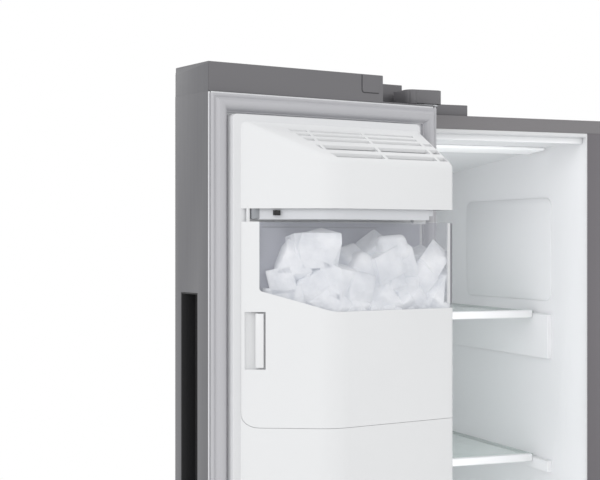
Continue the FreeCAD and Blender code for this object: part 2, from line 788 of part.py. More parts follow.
def door_gasket(door, label):
    """Soft magnetic seal round the door, just clear of the cabinet when it is shut."""
    body = door.piece(label)
    inset, band = d.gasket_inset, d.gasket_inset + d.gasket_width
    low, high = d.base_cap_top, d.skin_top
    thick = d.gasket_gap - d.seal_gap
    add(body, "Y", door.p(0), door.p(thick), door.front(inset, door.width - inset, low + inset, high - inset, 4))
    cut(body, "Y", door.p(0), door.p(thick), door.front(band, door.width - band, low + band, high - band, 4))
    return body


def door_handle(door, label):
    """Upright finger pocket set into the door's free edge."""
    body = door.piece(label)
    wall = d.pocket_wall
    add(body, "Z", d.handle_base, d.handle_top, door.area(0, d.handle_depth, -handle_end, -d.handle_from_back))
    cut(body, "Z", d.handle_base + wall, d.handle_top - wall,
        door.area(0, d.handle_depth - wall, -handle_end + wall, -d.handle_from_back - wall))
    return body


def door_bins(door, label, step_right, floors):
    """Open bins that hang between the two rails of the liner's step."""
    body = door.piece(label)
    wall = d.bin_wall
    near = d.step_inset + d.step_rail + d.fit_gap
    far = step_right - d.step_rail - d.fit_gap
    for floor in floors:
        add(body, "Z", floor, floor + d.bin_height, door.area(near, far, d.fit_gap, d.bin_depth, 2.9))
        cut(body, "Z", floor + wall, floor + d.bin_height,
            door.area(near + wall, far - wall, d.fit_gap + wall, d.bin_depth - wall, 2))
    return body


freezer_step_right = freezer_door.width - d.step_hinge_inset
fridge_step_right = fridge_door.width - d.step_hinge_inset

freezer_skin = door_skin(freezer_door, "freezer_door_skin")
door_top_cap(freezer_door, freezer_door.piece("freezer_top_cap"))
door_base_cap(freezer_door, freezer_door.piece("freezer_base_cap"))
freezer_foam = door_foam(freezer_door, "freezer_door_foam")
door_liner(freezer_door, "freezer_door_liner", freezer_step_right, d.cover_base)
door_gasket(freezer_door, "freezer_door_gasket")
door_handle(freezer_door, "freezer_handle_pocket")
door_bins(freezer_door, "freezer_door_bins", freezer_step_right, (960, 700, 430, 160))

door_skin(fridge_door, "fridge_door_skin")
fridge_caps = fridge_door.piece("fridge_door_caps")
door_top_cap(fridge_door, fridge_caps)
door_base_cap(fridge_door, fridge_caps)
door_foam(fridge_door, "fridge_door_foam")
door_liner(fridge_door, "fridge_door_liner", fridge_step_right, compartment_top - d.mouth_clearance - d.step_rail)
door_gasket(fridge_door, "fridge_door_gasket")
door_handle(fridge_door, "fridge_handle_pocket")
door_bins(fridge_door, "fridge_door_bins", fridge_step_right, (1460, 1200, 940, 640, 340))

# ---------------------------------------------------------------- dispenser in the freezer door

recess = freezer_door.piece("dispenser_recess")
cavity = (d.dispenser_left, d.dispenser_right, d.dispenser_base, d.dispenser_top)
wall = d.pocket_wall
face, recess_back = -d.door_thickness, d.dispenser_depth - d.door_thickness
cut(freezer_skin, "Y", freezer_door.p(face), freezer_door.p(face + d.metal), freezer_door.front(*cavity))
cut(freezer_foam, "Y", freezer_door.p(face), freezer_door.p(recess_back), freezer_door.front(*cavity))
add(recess, "Y", freezer_door.p(face), freezer_door.p(recess_back), freezer_door.front(*cavity))
cut(recess, "Y", freezer_door.p(face), freezer_door.p(recess_back - wall), freezer_door.front(
    d.dispenser_left + wall, d.dispenser_right - wall, d.dispenser_base + wall, d.dispenser_top - wall, 8))
dispenser_middle = (d.dispenser_left + d.dispenser_right) / 2
nozzle_p = face + d.dispenser_depth / 2
add(recess, "Z", d.dispenser_top - 26, d.dispenser_top - wall,
    disc(freezer_door.u(dispenser_middle), freezer_door.p(nozzle_p - 6), 16))
cut(recess, "Z", d.dispenser_top - 26, d.dispenser_top - wall,
    disc(freezer_door.u(dispenser_middle), freezer_door.p(nozzle_p - 6), 13))
paddle_p, paddle_z = recess_back - wall - 10, d.dispenser_top - 16
for side in (-1, 1):
    ear = dispenser_middle + side * 26
    add(recess, "X", freezer_door.u(ear - 2), freezer_door.u(ear + 2),
        rect(freezer_door.p(paddle_p - 6), freezer_door.p(recess_back - wall), paddle_z - 6, paddle_z + 6))
    cut(recess, "X", freezer_door.u(ear - 2), freezer_door.u(ear + 2),
        disc(freezer_door.p(paddle_p), paddle_z, 2.5 + d.pin_clearance))

paddle = freezer_door.piece("dispenser_paddle")
add(paddle, "X", freezer_door.u(dispenser_middle - 28), freezer_door.u(dispenser_middle + 28),
    disc(freezer_door.p(paddle_p), paddle_z, 2.5))
add(paddle, "X", freezer_door.u(dispenser_middle - 22), freezer_door.u(dispenser_middle + 22), loop(
    (freezer_door.p(paddle_p - 3), paddle_z - 110), (freezer_door.p(paddle_p - 6), paddle_z - 110),
    (freezer_door.p(paddle_p - 3), paddle_z + 2), (freezer_door.p(paddle_p + 1), paddle_z + 2)))

drip_tray = freezer_door.piece("drip_tray")
tray_low = d.dispenser_base + wall + d.fit_gap
add(drip_tray, "Z", tray_low, tray_low + 9, freezer_door.area(
    d.dispenser_left + wall + 9, d.dispenser_right - wall - 9, face + 1, recess_back - wall - d.fit_gap))
for slat in range(9):
    u0 = d.dispenser_left + wall + 15 + slat * (d.dispenser_right - d.dispenser_left - 2 * wall - 30) / 9
    cut(drip_tray, "Z", tray_low + 5, tray_low + 9,
        freezer_door.area(u0, u0 + 9, face + 7, recess_back - wall - 6))

control = freezer_door.piece("dispenser_panel")
add(control, "Y", freezer_door.p(face - 2), freezer_door.p(face),
    freezer_door.front(d.dispenser_left, d.dispenser_right, d.dispenser_top, d.panel_top))

# ---------------------------------------------------------------- ice maker on the freezer door

facet_run = d.facet_end - d.ice_left
facet_rise = d.ice_depth - d.step_height
facet_length = (facet_run * facet_run + facet_rise * facet_rise).root()


def facet_u(p, inset=0):
    """Where the facet stands at a height p above the inner face, moved in from its outer side."""
    return d.ice_left + (size(inset) * facet_length + (p - d.step_height) * facet_run) / facet_rise


def ice_plan(inset=0, p_back=None, p_front=None):
    """Plan of the ice maker: a facet, a rounded shoulder and a flat front, moved in by inset."""
    p_back = d.step_height + inset if p_back is None else size(p_back)
    p_front = d.ice_depth - inset if p_front is None else size(p_front)
    return freezer_door.plan(
        (facet_u(p_back, inset), p_back),
        (facet_u(p_front, inset), p_front, d.facet_round - inset),
        (d.ice_right - inset, p_front, max(d.ice_corner - inset, size(2), key=lambda s: s.value)),
        (d.ice_right - inset, p_back),
    )


def slope(p):
    """Height of the housing's sloping roof."""
    fall = d.housing_top - d.housing_front_top
    return d.housing_top - fall * (size(p) - d.step_height) / facet_rise


back_p, front_p, ice_wall = d.step_height, d.ice_depth, d.ice_wall
housing = freezer_door.piece("ice_housing")
add(housing, "Z", d.housing_base, d.housing_top, ice_plan())
cut(housing, "X", freezer_door.u(d.ice_left - 5), freezer_door.u(d.ice_right + 5), loop(
    (freezer_door.p(back_p), slope(back_p)), (freezer_door.p(front_p + 5), slope(front_p + 5)),
    (freezer_door.p(front_p + 5), d.housing_top + 5), (freezer_door.p(back_p), d.housing_top + 5)))
roof_inside = d.housing_front_top - 6
cut(housing, "Z", d.housing_base, roof_inside, ice_plan(ice_wall))
grille_left = d.facet_end + 4
cut(housing, "X", freezer_door.u(grille_left), freezer_door.u(d.ice_right - ice_wall), loop(
    (freezer_door.p(back_p + ice_wall), roof_inside - 1),
    (freezer_door.p(back_p + ice_wall), slope(back_p + ice_wall) - ice_wall),
    (freezer_door.p(front_p - 14), slope(front_p - 14) - ice_wall),
    (freezer_door.p(front_p - 14), roof_inside - 1)))
GRILLE_ROWS, GRILLE_COLUMNS = 5, 3
grille_pitch = (d.ice_right - ice_wall - grille_left - 10) / GRILLE_COLUMNS
for grille_row in range(GRILLE_ROWS):
    row_p = back_p + 8 + 12 * grille_row
    cut(housing, "Z", roof_inside - 2, d.housing_top, *[
        freezer_door.area(grille_left + 5 + column * grille_pitch,
                          grille_left + (column + 1) * grille_pitch, row_p, row_p + 6.5)
        for column in range(GRILLE_COLUMNS)])
bearing_u = d.facet_end - 10
tray_p, tray_z = d.tray_pivot_depth, d.tray_pivot_height
add(housing, "X", freezer_door.u(bearing_u), freezer_door.u(bearing_u + 8),
    rect(freezer_door.p(tray_p - 8), freezer_door.p(tray_p + 8), tray_z - 10, roof_inside))
cut(housing, "X", freezer_door.u(bearing_u), freezer_door.u(bearing_u + 8),
    disc(freezer_door.p(tray_p), tray_z, d.shaft_radius + d.pin_clearance))

drive_left, drive_right = d.ice_right - 64, d.ice_right - ice_wall
drive = freezer_door.piece("ice_drive_box")
add(drive, "X", freezer_door.u(drive_left), freezer_door.u(drive_right),
    rect(freezer_door.p(back_p + ice_wall), freezer_door.p(front_p - 8), d.housing_base + 3, roof_inside, 4))
cut(drive, "X", freezer_door.u(drive_left), freezer_door.u(drive_left + 14),
    disc(freezer_door.p(tray_p), tray_z, d.shaft_radius + d.pin_clearance))

tray = freezer_door.piece("ice_tray")
tray_left, tray_right = bearing_u + 18, drive_left - 5
add(tray, "X", freezer_door.u(tray_left), freezer_door.u(tray_right),
    rect(freezer_door.p(tray_p - 28), freezer_door.p(tray_p + 28), tray_z - 16, tray_z + 14, 6))
TRAY_CELLS = 5
cell_pitch = (tray_right - tray_left) / TRAY_CELLS
cut(tray, "Z", tray_z - 10, tray_z + 14, *[
    freezer_door.area(tray_left + cell * cell_pitch + 3, tray_left + (cell + 1) * cell_pitch - 3,
                      tray_p + low, tray_p + low + 20, 4)
    for cell in range(TRAY_CELLS) for low in (-24, 4)])
add(tray, "X", freezer_door.u(bearing_u), freezer_door.u(tray_left),
    disc(freezer_door.p(tray_p), tray_z, d.shaft_radius))
add(tray, "X", freezer_door.u(tray_right), freezer_door.u(drive_left + 12),
    disc(freezer_door.p(tray_p), tray_z, d.shaft_radius))

lower_cover = freezer_door.piece("ice_lower_cover")
cover_top = d.bucket_base - d.fit_gap
add(lower_cover, "Z", d.cover_base, cover_top, ice_plan())
cut(lower_cover, "Z", d.cover_base + ice_wall, cover_top, ice_plan(ice_wall))
chute_u = dispenser_middle
cut(lower_cover, "Z", d.cover_base, d.cover_base + ice_wall, freezer_door.area(chute_u - 25, chute_u + 25, 40, 80, 6))

bucket_back = back_p + d.fit_gap
bucket_floor = d.bucket_base + ice_wall
bucket = freezer_door.piece("ice_bucket_body")
add(bucket, "Z", d.bucket_base, d.bucket_top, ice_plan(0, bucket_back))
cut(bucket, "Z", bucket_floor, d.bucket_top, ice_plan(ice_wall, bucket_back + ice_wall))
latch_backing = 1.5


def facet_p(u):
    """How far the facet stands out of the inner face at a place along the door."""
    return d.step_height + (size(u) - d.ice_left) * facet_rise / facet_run


def facet_patch(u0, u1, depth0, depth1):
    """A block against the facet, between two depths measured square to its face."""
    away_u, away_p = facet_rise / facet_length, -facet_run / facet_length
    corners = ((u0, depth0), (u1, depth0), (u1, depth1), (u0, depth1))
    return freezer_door.plan(*[(u + away_u * depth, facet_p(u) + away_p * depth) for u, depth in corners])


add(bucket, "Z", d.latch_base - 8, d.window_base,
    facet_patch(d.latch_left - 2, d.latch_right + 3, ice_wall, d.latch_depth + latch_backing))
cut(bucket, "Z", d.latch_base, d.latch_top - 4,
    facet_patch(d.latch_left, d.latch_right, size(-1), d.latch_depth))
cut(bucket, "Z", d.window_base, d.bucket_top, freezer_door.area(
    d.window_left, d.ice_right + 1, bucket_back + ice_wall, d.ice_depth + 1))
chute = freezer_door.area(chute_u - 25, chute_u + 25, 40, 80, 6)
cut(bucket, "Z", d.bucket_base, bucket_floor, chute)
auger_p = (back_p + front_p) / 2
auger_near = d.facet_end - 12
add(bucket, "X", freezer_door.u(auger_near), freezer_door.u(auger_near + 4),
    rect(freezer_door.p(auger_p - 14), freezer_door.p(auger_p + 14), bucket_floor, d.auger_height + 10))
cut(bucket, "X", freezer_door.u(auger_near), freezer_door.u(d.ice_right),
    disc(freezer_door.p(auger_p), d.auger_height, d.shaft_radius + d.pin_clearance))

window = freezer_door.piece("ice_bucket_window")
add(window, "Z", d.window_base, d.bucket_top, ice_plan(0, bucket_back))
cut(window, "Z", d.window_base, d.bucket_top, ice_plan(ice_wall, bucket_back + ice_wall - 1))
cut(window, "Z", d.window_base, d.bucket_top,
    freezer_door.area(0, d.window_left, 0, d.ice_depth + 1),
    freezer_door.area(d.window_left, d.ice_right + 1, 0, bucket_back + ice_wall))

auger = freezer_door.piece("auger")
add(auger, "X", freezer_door.u(auger_near), freezer_door.u(d.ice_right - 1),
    disc(freezer_door.p(auger_p), d.auger_height, d.shaft_radius))
AUGER_BLADES = 7
blade_pitch = (d.ice_right - ice_wall - auger_near - 24) / AUGER_BLADES
for blade in range(AUGER_BLADES):
    u0 = auger_near + 12 + blade * blade_pitch
    reach, half = d.auger_radius, size(6)
    wide, tall = (reach, half) if blade % 2 else (half, reach)
    add(auger, "X", freezer_door.u(u0), freezer_door.u(u0 + 5), rect(
        freezer_door.p(auger_p - wide), freezer_door.p(auger_p + wide),
        d.auger_height - tall, d.auger_height + tall, 4))

ice = freezer_door.piece("ice_pile")
ice_base = d.auger_height + d.auger_radius + 5
add(ice, "Z", ice_base, d.ice_top, ice_plan(d.latch_depth + latch_backing + 1, bucket_back + ice_wall + 0.5,
                                            d.ice_depth - ice_wall - 0.5))

latch = freezer_door.piece("bucket_latch")
latch_pin_radius, latch_pin_depth = 1.5, 3.2
pin_u = d.latch_left + 3
pin_x = freezer_door.u(pin_u + facet_rise / facet_length * latch_pin_depth)
pin_y = freezer_door.p(facet_p(pin_u) - facet_run / facet_length * latch_pin_depth)
add(latch, "Z", d.latch_base + d.fit_gap, d.latch_top - 4 - d.fit_gap,
    facet_patch(pin_u - 2, pin_u + 9, size(1.5), size(5)))
add(latch, "Z", d.latch_base - 4, d.latch_top - 1, disc(pin_x, pin_y, latch_pin_radius))
cut(bucket, "Z", d.latch_base - 5, d.latch_top, disc(pin_x, pin_y, latch_pin_radius + d.pin_clearance))

# ---------------------------------------------------------------- hinges

arm_base = d.notch_floor + d.hinge_gap
arm_top = arm_base + d.hinge_plate
cover_skirt = arm_top - d.hinge_gap
top_hinges = piece("top_hinges")
covers = piece("hinge_covers")
bottom_hinges = piece("bottom_hinges")
screws = piece("hinge_screws")


def hinge_set(edge, inward, door):
    """Upper arm with its pin, its cover and screws, and the lower bracket, at one cabinet edge."""
    near, far = edge + inward * d.hinge_neck_near, edge + inward * d.hinge_neck_far
    head_front = door.pivot_y - 18
    add(top_hinges, "X", near, far - inward * 4, loop(
        (head_front, arm_base), (8, arm_base), (8, top), (80, top),
        (80, top + d.hinge_plate), (12, top + d.hinge_plate), (12, arm_top), (head_front, arm_top)))
    add(top_hinges, "Z", arm_base, arm_top, rect(edge, near, head_front, -d.hinge_head_back - 6))
    add(top_hinges, "Z", boss_base + 3, arm_base, disc(door.pivot_x, door.pivot_y, d.pin_radius))
    wall_in = d.hinge_cover_wall
    nose = edge - inward * d.hinge_cover_overhang
    length = edge + inward * d.hinge_cover_length
    add(covers, "Z", cover_skirt, d.hinge_cover_top,
        rect(nose, far, -d.hinge_cover_front, -d.hinge_head_back, 12))
    add(covers, "Z", cover_skirt, d.hinge_cover_top, rect(near - inward * 2, far, -d.hinge_head_back - 14, 6))
    add(covers, "Z", top, d.hinge_cover_rear_top, rect(edge, length, 6, d.hinge_cover_back, 5))
    cut(covers, "Z", cover_skirt, d.hinge_cover_top - wall_in,
        rect(nose + inward * wall_in, far - inward * wall_in,
             wall_in - d.hinge_cover_front, -d.hinge_head_back - wall_in, 10))
    cut(covers, "Z", cover_skirt, d.hinge_cover_top - wall_in,
        rect(near, far - inward * wall_in, -d.hinge_head_back - 16, 6))
    cut(covers, "Z", top, d.hinge_cover_rear_top - wall_in,
        rect(edge + inward * wall_in, length - inward * wall_in, 6 + wall_in, d.hinge_cover_back - wall_in, 3))
    cut(covers, "Z", top, d.hinge_cover_rear_top - wall_in,
        rect(near - inward * 0.3, far - inward * wall_in, 5, 6 + wall_in))
    screw_x = (near + far) / 2 - inward * 2
    places = ((screw_x - 9, 34), (screw_x + 9, 34), (screw_x, 62))
    for x, y in places:
        cut(top_hinges, "Z", top, top + d.hinge_plate, disc(x, y, 4.1))
        add(screws, "Z", top, top + d.hinge_plate, disc(x, y, 3.9))
        add(screws, "Z", top + d.hinge_plate, top + d.hinge_plate + 4, disc(x, y, 6.5))
    foot_top = d.door_base - d.hinge_gap
    lower_far = edge + inward * 60
    add(bottom_hinges, "Z", foot_top - d.hinge_plate, foot_top, rect(edge, lower_far, head_front, 0))
    add(bottom_hinges, "Y", -d.hinge_plate, 0, rect(edge, lower_far, base, foot_top))
    add(bottom_hinges, "Z", foot_top, d.base_cap_top - 4, disc(door.pivot_x, door.pivot_y, d.pin_radius))
    add(bottom_hinges, "Z", foot_top, d.door_base - d.fit_gap,
        disc(door.pivot_x, door.pivot_y, d.pin_radius + 4))
    for x in (edge + inward * 20, edge + inward * 44):
        cut(bottom_hinges, "Z", foot_top - d.hinge_plate, foot_top, disc(x, -14, 2))


hinge_set(left, 1, freezer_door)
hinge_set(right, -1, fridge_door)

# ---------------------------------------------------------------- checks and export

doc.recompute()
for item in doc.Objects:
    if {"Invalid", "Error"} & set(item.State):
        raise RuntimeError(f"{item.Name} ({item.Label}) failed: {item.State}")
for body in pieces:
    shape = body.Shape
    if shape.isNull() or not shape.isValid() or not shape.Solids:
        raise RuntimeError(f"{body.Label} has no sound solid")

os.makedirs("parts", exist_ok=True)
for body in pieces:
    body.Shape.exportStep(f"parts/{body.Label}.step")
print(len(pieces), "nodes,", sum(len(body.Shape.Solids) for body in pieces), "solids")
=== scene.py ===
import json
import math
import random

import bmesh
import bpy
from mathutils import Matrix, Vector


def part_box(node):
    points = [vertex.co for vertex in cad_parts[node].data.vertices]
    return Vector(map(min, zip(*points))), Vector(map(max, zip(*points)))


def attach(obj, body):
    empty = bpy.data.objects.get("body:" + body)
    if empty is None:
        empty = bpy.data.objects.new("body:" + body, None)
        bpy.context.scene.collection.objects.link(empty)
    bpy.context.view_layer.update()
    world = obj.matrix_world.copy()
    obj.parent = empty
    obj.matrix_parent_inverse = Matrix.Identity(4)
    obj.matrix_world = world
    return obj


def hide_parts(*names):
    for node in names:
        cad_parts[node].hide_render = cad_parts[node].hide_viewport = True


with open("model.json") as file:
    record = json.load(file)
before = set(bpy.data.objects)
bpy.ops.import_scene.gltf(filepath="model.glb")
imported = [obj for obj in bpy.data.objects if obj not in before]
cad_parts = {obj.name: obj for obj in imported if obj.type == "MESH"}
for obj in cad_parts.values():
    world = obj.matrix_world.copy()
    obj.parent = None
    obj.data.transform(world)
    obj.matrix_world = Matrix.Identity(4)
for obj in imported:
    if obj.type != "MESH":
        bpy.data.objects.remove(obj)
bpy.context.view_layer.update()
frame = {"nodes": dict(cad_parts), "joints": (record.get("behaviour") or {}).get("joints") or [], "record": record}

# ------------------------------------------------------------------ the studio
# A camera at standing height looks level past the open freezer door into the freezer.
# The floor is a pale round board, and large soft lamps and a near-white room light it evenly.
camera = bpy.data.objects.new("camera", bpy.data.cameras.new("camera"))
camera.data.sensor_width = 36.0
camera.data.lens = 79.47
camera.location = (-1.3593, -1.9199, 1.5367)
camera.rotation_euler = (math.radians(90), 0, math.radians(-21.54))
bpy.context.scene.collection.objects.link(camera)
bpy.context.scene.camera = camera
bpy.context.scene.view_settings.view_transform = "Standard"


def lamp(name, place, target, width, power):
    """A square soft lamp aimed at a point."""
    light = bpy.data.objects.new(name, bpy.data.lights.new(name, "AREA"))
    light.data.shape = "SQUARE"
    light.data.size = width
    light.data.energy = power
    light.location = place
    light.rotation_euler = (Vector(target) - Vector(place)).to_track_quat("-Z", "Y").to_euler()
    bpy.context.scene.collection.objects.link(light)
    return light


lamp("key_lamp", (-3.6, -1.6, 2.7), (-0.6, 0.0, 1.45), 1.8, 26)
lamp("right_lamp", (2.4, -3.4, 2.0), (0.2, 0.2, 1.1), 2.2, 8)
lamp("back_lamp", (-0.6, 3.6, 2.8), (0.0, 0.4, 1.0), 2.6, 14)
room = bpy.data.worlds.new("room")
room.use_nodes = True
room.node_tree.nodes["Background"].inputs["Color"].default_value = (1, 1, 1, 1)
room.node_tree.nodes["Background"].inputs["Strength"].default_value = 1.0
bpy.context.scene.world = room


def tint(red, green, blue):
    """A colour as a paint chart gives it, 0 to 255, turned into the light it gives back."""
    parts = [part / 255 for part in (red, green, blue)]
    return (*[part / 12.92 if part <= 0.04045 else ((part + 0.055) / 1.055) ** 2.4 for part in parts], 1)


class Tone:
    """A shader socket that takes Python's arithmetic, each step adding a Math node."""

    def __init__(self, tree, socket=None):
        self.tree, self.socket = tree, socket

    def node(self, kind, settings, values, output=0):
        """Any other node: its settings or a ramp's stops first, then values or links for its sockets."""
        made = self.tree.nodes.new("ShaderNode" + kind)
        for name, value in settings.items():
            if name != "stops":
                setattr(made, name, value)
                continue
            for _ in value[2:]:
                made.color_ramp.elements.new(0.5)
            for element, (place, colour) in zip(made.color_ramp.elements, value):
                element.position, element.color = place, colour
        for key, value in values.items():
            if isinstance(value, Tone):
                self.tree.links.new(value.socket, made.inputs[key])
            else:
                made.inputs[key].default_value = value
        return Tone(self.tree, made.outputs[output])

    def step(self, operation, left, right):
        return self.node("Math", {"operation": operation}, {0: left, 1: right})

    def __add__(self, other):
        return self.step("ADD", self, other)

    def __sub__(self, other):
        return self.step("SUBTRACT", self, other)

    def __mul__(self, other):
        return self.step("MULTIPLY", self, other)

    def __rsub__(self, other):
        return self.step("SUBTRACT", other, self)

    __radd__ = __add__
    __rmul__ = __mul__

    def noise(self, scale, detail=2.0, stretch=(1, 1, 1), turn=0.0):
        """Cloudy noise on these coordinates, turned about the upright and stretched."""
        mapped = self.node("Mapping", {}, {"Vector": self, "Rotation": (0, 0, turn), "Scale": stretch})
        return self.node("TexNoise", {}, {"Vector": mapped, "Scale": scale, "Detail": detail})

    def shades(self, dark, light):
        """A colour from dark to light as this number goes from 0 to 1."""
        return self.node("Mix", {"data_type": "RGBA"}, {0: self, 6: dark, 7: light}, 2)

    def into(self, shader, socket):
        self.tree.links.new(self.socket, shader.inputs[socket])

    def relief(self, shader, strength, depth):
        """Fine bumps that follow this number."""
        bump = self.node("Bump", {}, {"Strength": strength, "Distance": depth, "Height": self})
        bump.into(shader, "Normal")


def finish(name, colour, roughness, pattern=None, **constants):
    """A material on one shader: constants on its sockets, and a pattern that links what varies."""
    material = bpy.data.materials.new(name)
    material.use_nodes = True
    shader = material.node_tree.nodes["Principled BSDF"]
    shader.inputs["Base Color"].default_value = colour
    shader.inputs["Roughness"].default_value = roughness
    for socket, value in constants.items():
        shader.inputs[socket.replace("_", " ")].default_value = value
    if pattern:
        pattern(Tone(material.node_tree).node("TexCoord", {}, {}, "Object"), shader)
    return material


def board(place, shader):
    place.noise(0.8).shades(tint(232, 232, 231), tint(242, 242, 241)).into(shader, "Base Color")
    place.noise(90).relief(shader, 0.05, 0.001)


floor_mesh = bpy.data.meshes.new("floor")
shape = bmesh.new()
bmesh.ops.create_circle(shape, cap_ends=True, segments=96, radius=4.5)
shape.to_mesh(floor_mesh)
floor_mesh.materials.append(finish("pale_board", tint(238, 238, 237), 0.7, board))
floor = bpy.data.objects.new("floor", floor_mesh)
bpy.context.scene.collection.objects.link(floor)

# ------------------------------------------------------------------ cabinet shell
# One painted steel sheet folded round the sides and top, with a narrow strip turned in at the front.
# A galvanised back and a louvred cover over the machine room are screwed to it.
BODY_OF = {part: body for body, parts in frame["record"]["behaviour"]["bodies"].items() for part in parts}


def fitted(name, shape, like, material, sharp=32, place=None, stands_for=True):
    """Makes a shape a piece that rides with a CAD piece's body, and may stand for it."""
    if place is not None:
        bmesh.ops.transform(shape, matrix=place, verts=shape.verts)
        if place.determinant() < 0:
            bmesh.ops.reverse_faces(shape, faces=shape.faces)
    mesh = bpy.data.meshes.new(name)
    shape.to_mesh(mesh)
    shape.free()
    mesh.materials.append(material)
    mesh.shade_smooth()
    mesh.set_sharp_from_angle(angle=math.radians(sharp))
    piece = bpy.data.objects.new(name, mesh)
    bpy.context.scene.collection.objects.link(piece)
    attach(piece, BODY_OF[like])
    if stands_for:
        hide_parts(like)
    return piece


def joined(part):
    """The surface of a CAD piece as one whole mesh with flat faces."""
    shape = bmesh.new()
    shape.from_mesh(frame["nodes"][part].data)
    bmesh.ops.remove_doubles(shape, verts=shape.verts, dist=2e-6)
    bmesh.ops.dissolve_limit(shape, angle_limit=math.radians(0.4), verts=shape.verts, edges=shape.edges)
    return shape


def eased(shape, width, segments=2, turn=38):
    """Rounds each edge that turns by more than an angle."""
    edges = [edge for edge in shape.edges
             if edge.is_manifold and edge.calc_face_angle(0) > math.radians(turn)]
    if edges:
        bmesh.ops.bevel(shape, geom=edges, offset=width, offset_type="OFFSET", segments=segments,
                        profile=0.5, affect="EDGES", clamp_overlap=True, material=-1)


def softened(part, width, material, segments=2):
    """A CAD piece with its sharp edges rounded, as its mould or folded sheet leaves them."""
    shape = joined(part)
    eased(shape, width, segments)
    return fitted(part + "_finished", shape, part, material)


def dressed(part, material):
    """A CAD piece shown as it is, in its material."""
    mesh = frame["nodes"][part].data
    mesh.materials.clear()
    mesh.materials.append(material)


def speckled(dark, light, grain=1500, depth=0.00015, gloss=0.05):
    """Paint or moulded plastic: a faint drift of tone and a fine grain."""

    def pattern(place, shader):
        fine = place.noise(grain, 1.0)
        place.noise(2.5).shades(dark, light).into(shader, "Base Color")
        (fine * gloss + shader.inputs["Roughness"].default_value).into(shader, "Roughness")
        fine.relief(shader, 0.15, depth)

    return pattern


cabinet_paint = finish("cabinet_paint", tint(125, 123, 125), 0.42,
                       speckled(tint(118, 116, 118), tint(128, 126, 128), 700, 0.0003), Metallic=0.25)
zinc = finish("zinc_sheet", tint(170, 172, 174), 0.42,
              speckled(tint(150, 152, 155), tint(184, 186, 188), 60), Metallic=0.8)
foam_filling = finish("foam_filling", tint(232, 222, 180), 0.9,
                      speckled(tint(222, 210, 165), tint(238, 230, 195), 400, 0.001))
softened("cabinet_wrapper", 0.0012, cabinet_paint, 3)
for part in ("back_panel", "machine_cover"):
    softened(part, 0.0003, zinc, 1)
dressed("cabinet_foam", foam_filling)

# ------------------------------------------------------------------ strip between the compartments
# A narrow painted steel strip covers the gap between the two liners at the front.
# The magnets in both door seals hold on to it.
mullion_paint = finish("mullion_paint", tint(110, 107, 111), 0.38,
                       speckled(tint(104, 101, 105), tint(112, 109, 113)), Metallic=0.25)


def block(low, high):
    """A plain block between two corners."""
    shape = bmesh.new()
    bmesh.ops.create_cube(shape, size=1)
    low, high = Vector(low), Vector(high)
    place = Matrix.Translation((low + high) / 2) @ Matrix.Diagonal((*(high - low), 1))
    bmesh.ops.transform(shape, matrix=place, verts=shape.verts)
    return shape


def bar(low, high, width=0.6, segments=2):
    """A block with its edges rounded."""
    shape = block(low, high)
    eased(shape, width, segments)
    return shape


STRIP_LAP, STRIP_PROUD, STRIP_EDGE = 0.0112, 0.0006, 0.0004
strip_low, strip_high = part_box("mullion_strip")
strip = bar((strip_low[0] - STRIP_LAP, strip_low[1] - STRIP_PROUD, strip_low[2]),
            (strip_high[0] + STRIP_LAP, strip_low[1] + STRIP_PROUD, strip_high[2]), STRIP_EDGE)
fitted("mullion_cover", strip, "mullion_strip", mullion_paint)

# ------------------------------------------------------------------ liners and shelves
# Each compartment is a box drawn from one white plastic sheet, with ledges for its glass shelves.
# A cover in front of the cold coil closes the freezer's back, and a frosted lens lights the ceiling.
# Soft lamps at the mouth and along one wall give the even light that its own lamps do.
white_sheet = finish("white_sheet", tint(216, 217, 219), 0.36,
                     speckled(tint(213, 214, 216), tint(219, 220, 222), 900, 0.0001), Coat_Weight=0.1)
white_moulding = finish("white_moulding", tint(221, 222, 224), 0.32,
                        speckled(tint(218, 219, 221), tint(224, 225, 226), 1600, 0.00008), Coat_Weight=0.15)
for part in ("freezer_liner", "fridge_liner"):
    softened(part, 0.004, white_sheet, 3)
softened("freezer_back_cover", 0.0012, white_sheet)
LINER_FLANGE = 0.014
PAD_THICKNESS, PAD_SUNK, PAD_CORNER, PAD_EDGE = 0.0024, 0.0006, 0.016, 0.001
PAD_FRONT, PAD_BACK, PAD_LOW, PAD_HIGH = 0.108, 0.417, 1.428, 1.612
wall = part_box("freezer_liner")[1][0] - LINER_FLANGE + PAD_SUNK
pad = block((wall - PAD_THICKNESS, PAD_FRONT, PAD_LOW), (wall, PAD_BACK, PAD_HIGH))
corners = [edge for edge in pad.edges if abs(edge.verts[0].co.x - edge.verts[1].co.x) > PAD_THICKNESS / 2]
bmesh.ops.bevel(pad, geom=corners, offset=PAD_CORNER, segments=5, profile=0.5, affect="EDGES",
                clamp_overlap=True, material=-1)
eased(pad, PAD_EDGE, 2, 60)
fitted("freezer_wall_pad", pad, "freezer_liner", white_sheet, stands_for=False)


def frosted(place, shader):
    place.noise(260, 3).relief(shader, 0.3, 0.0004)


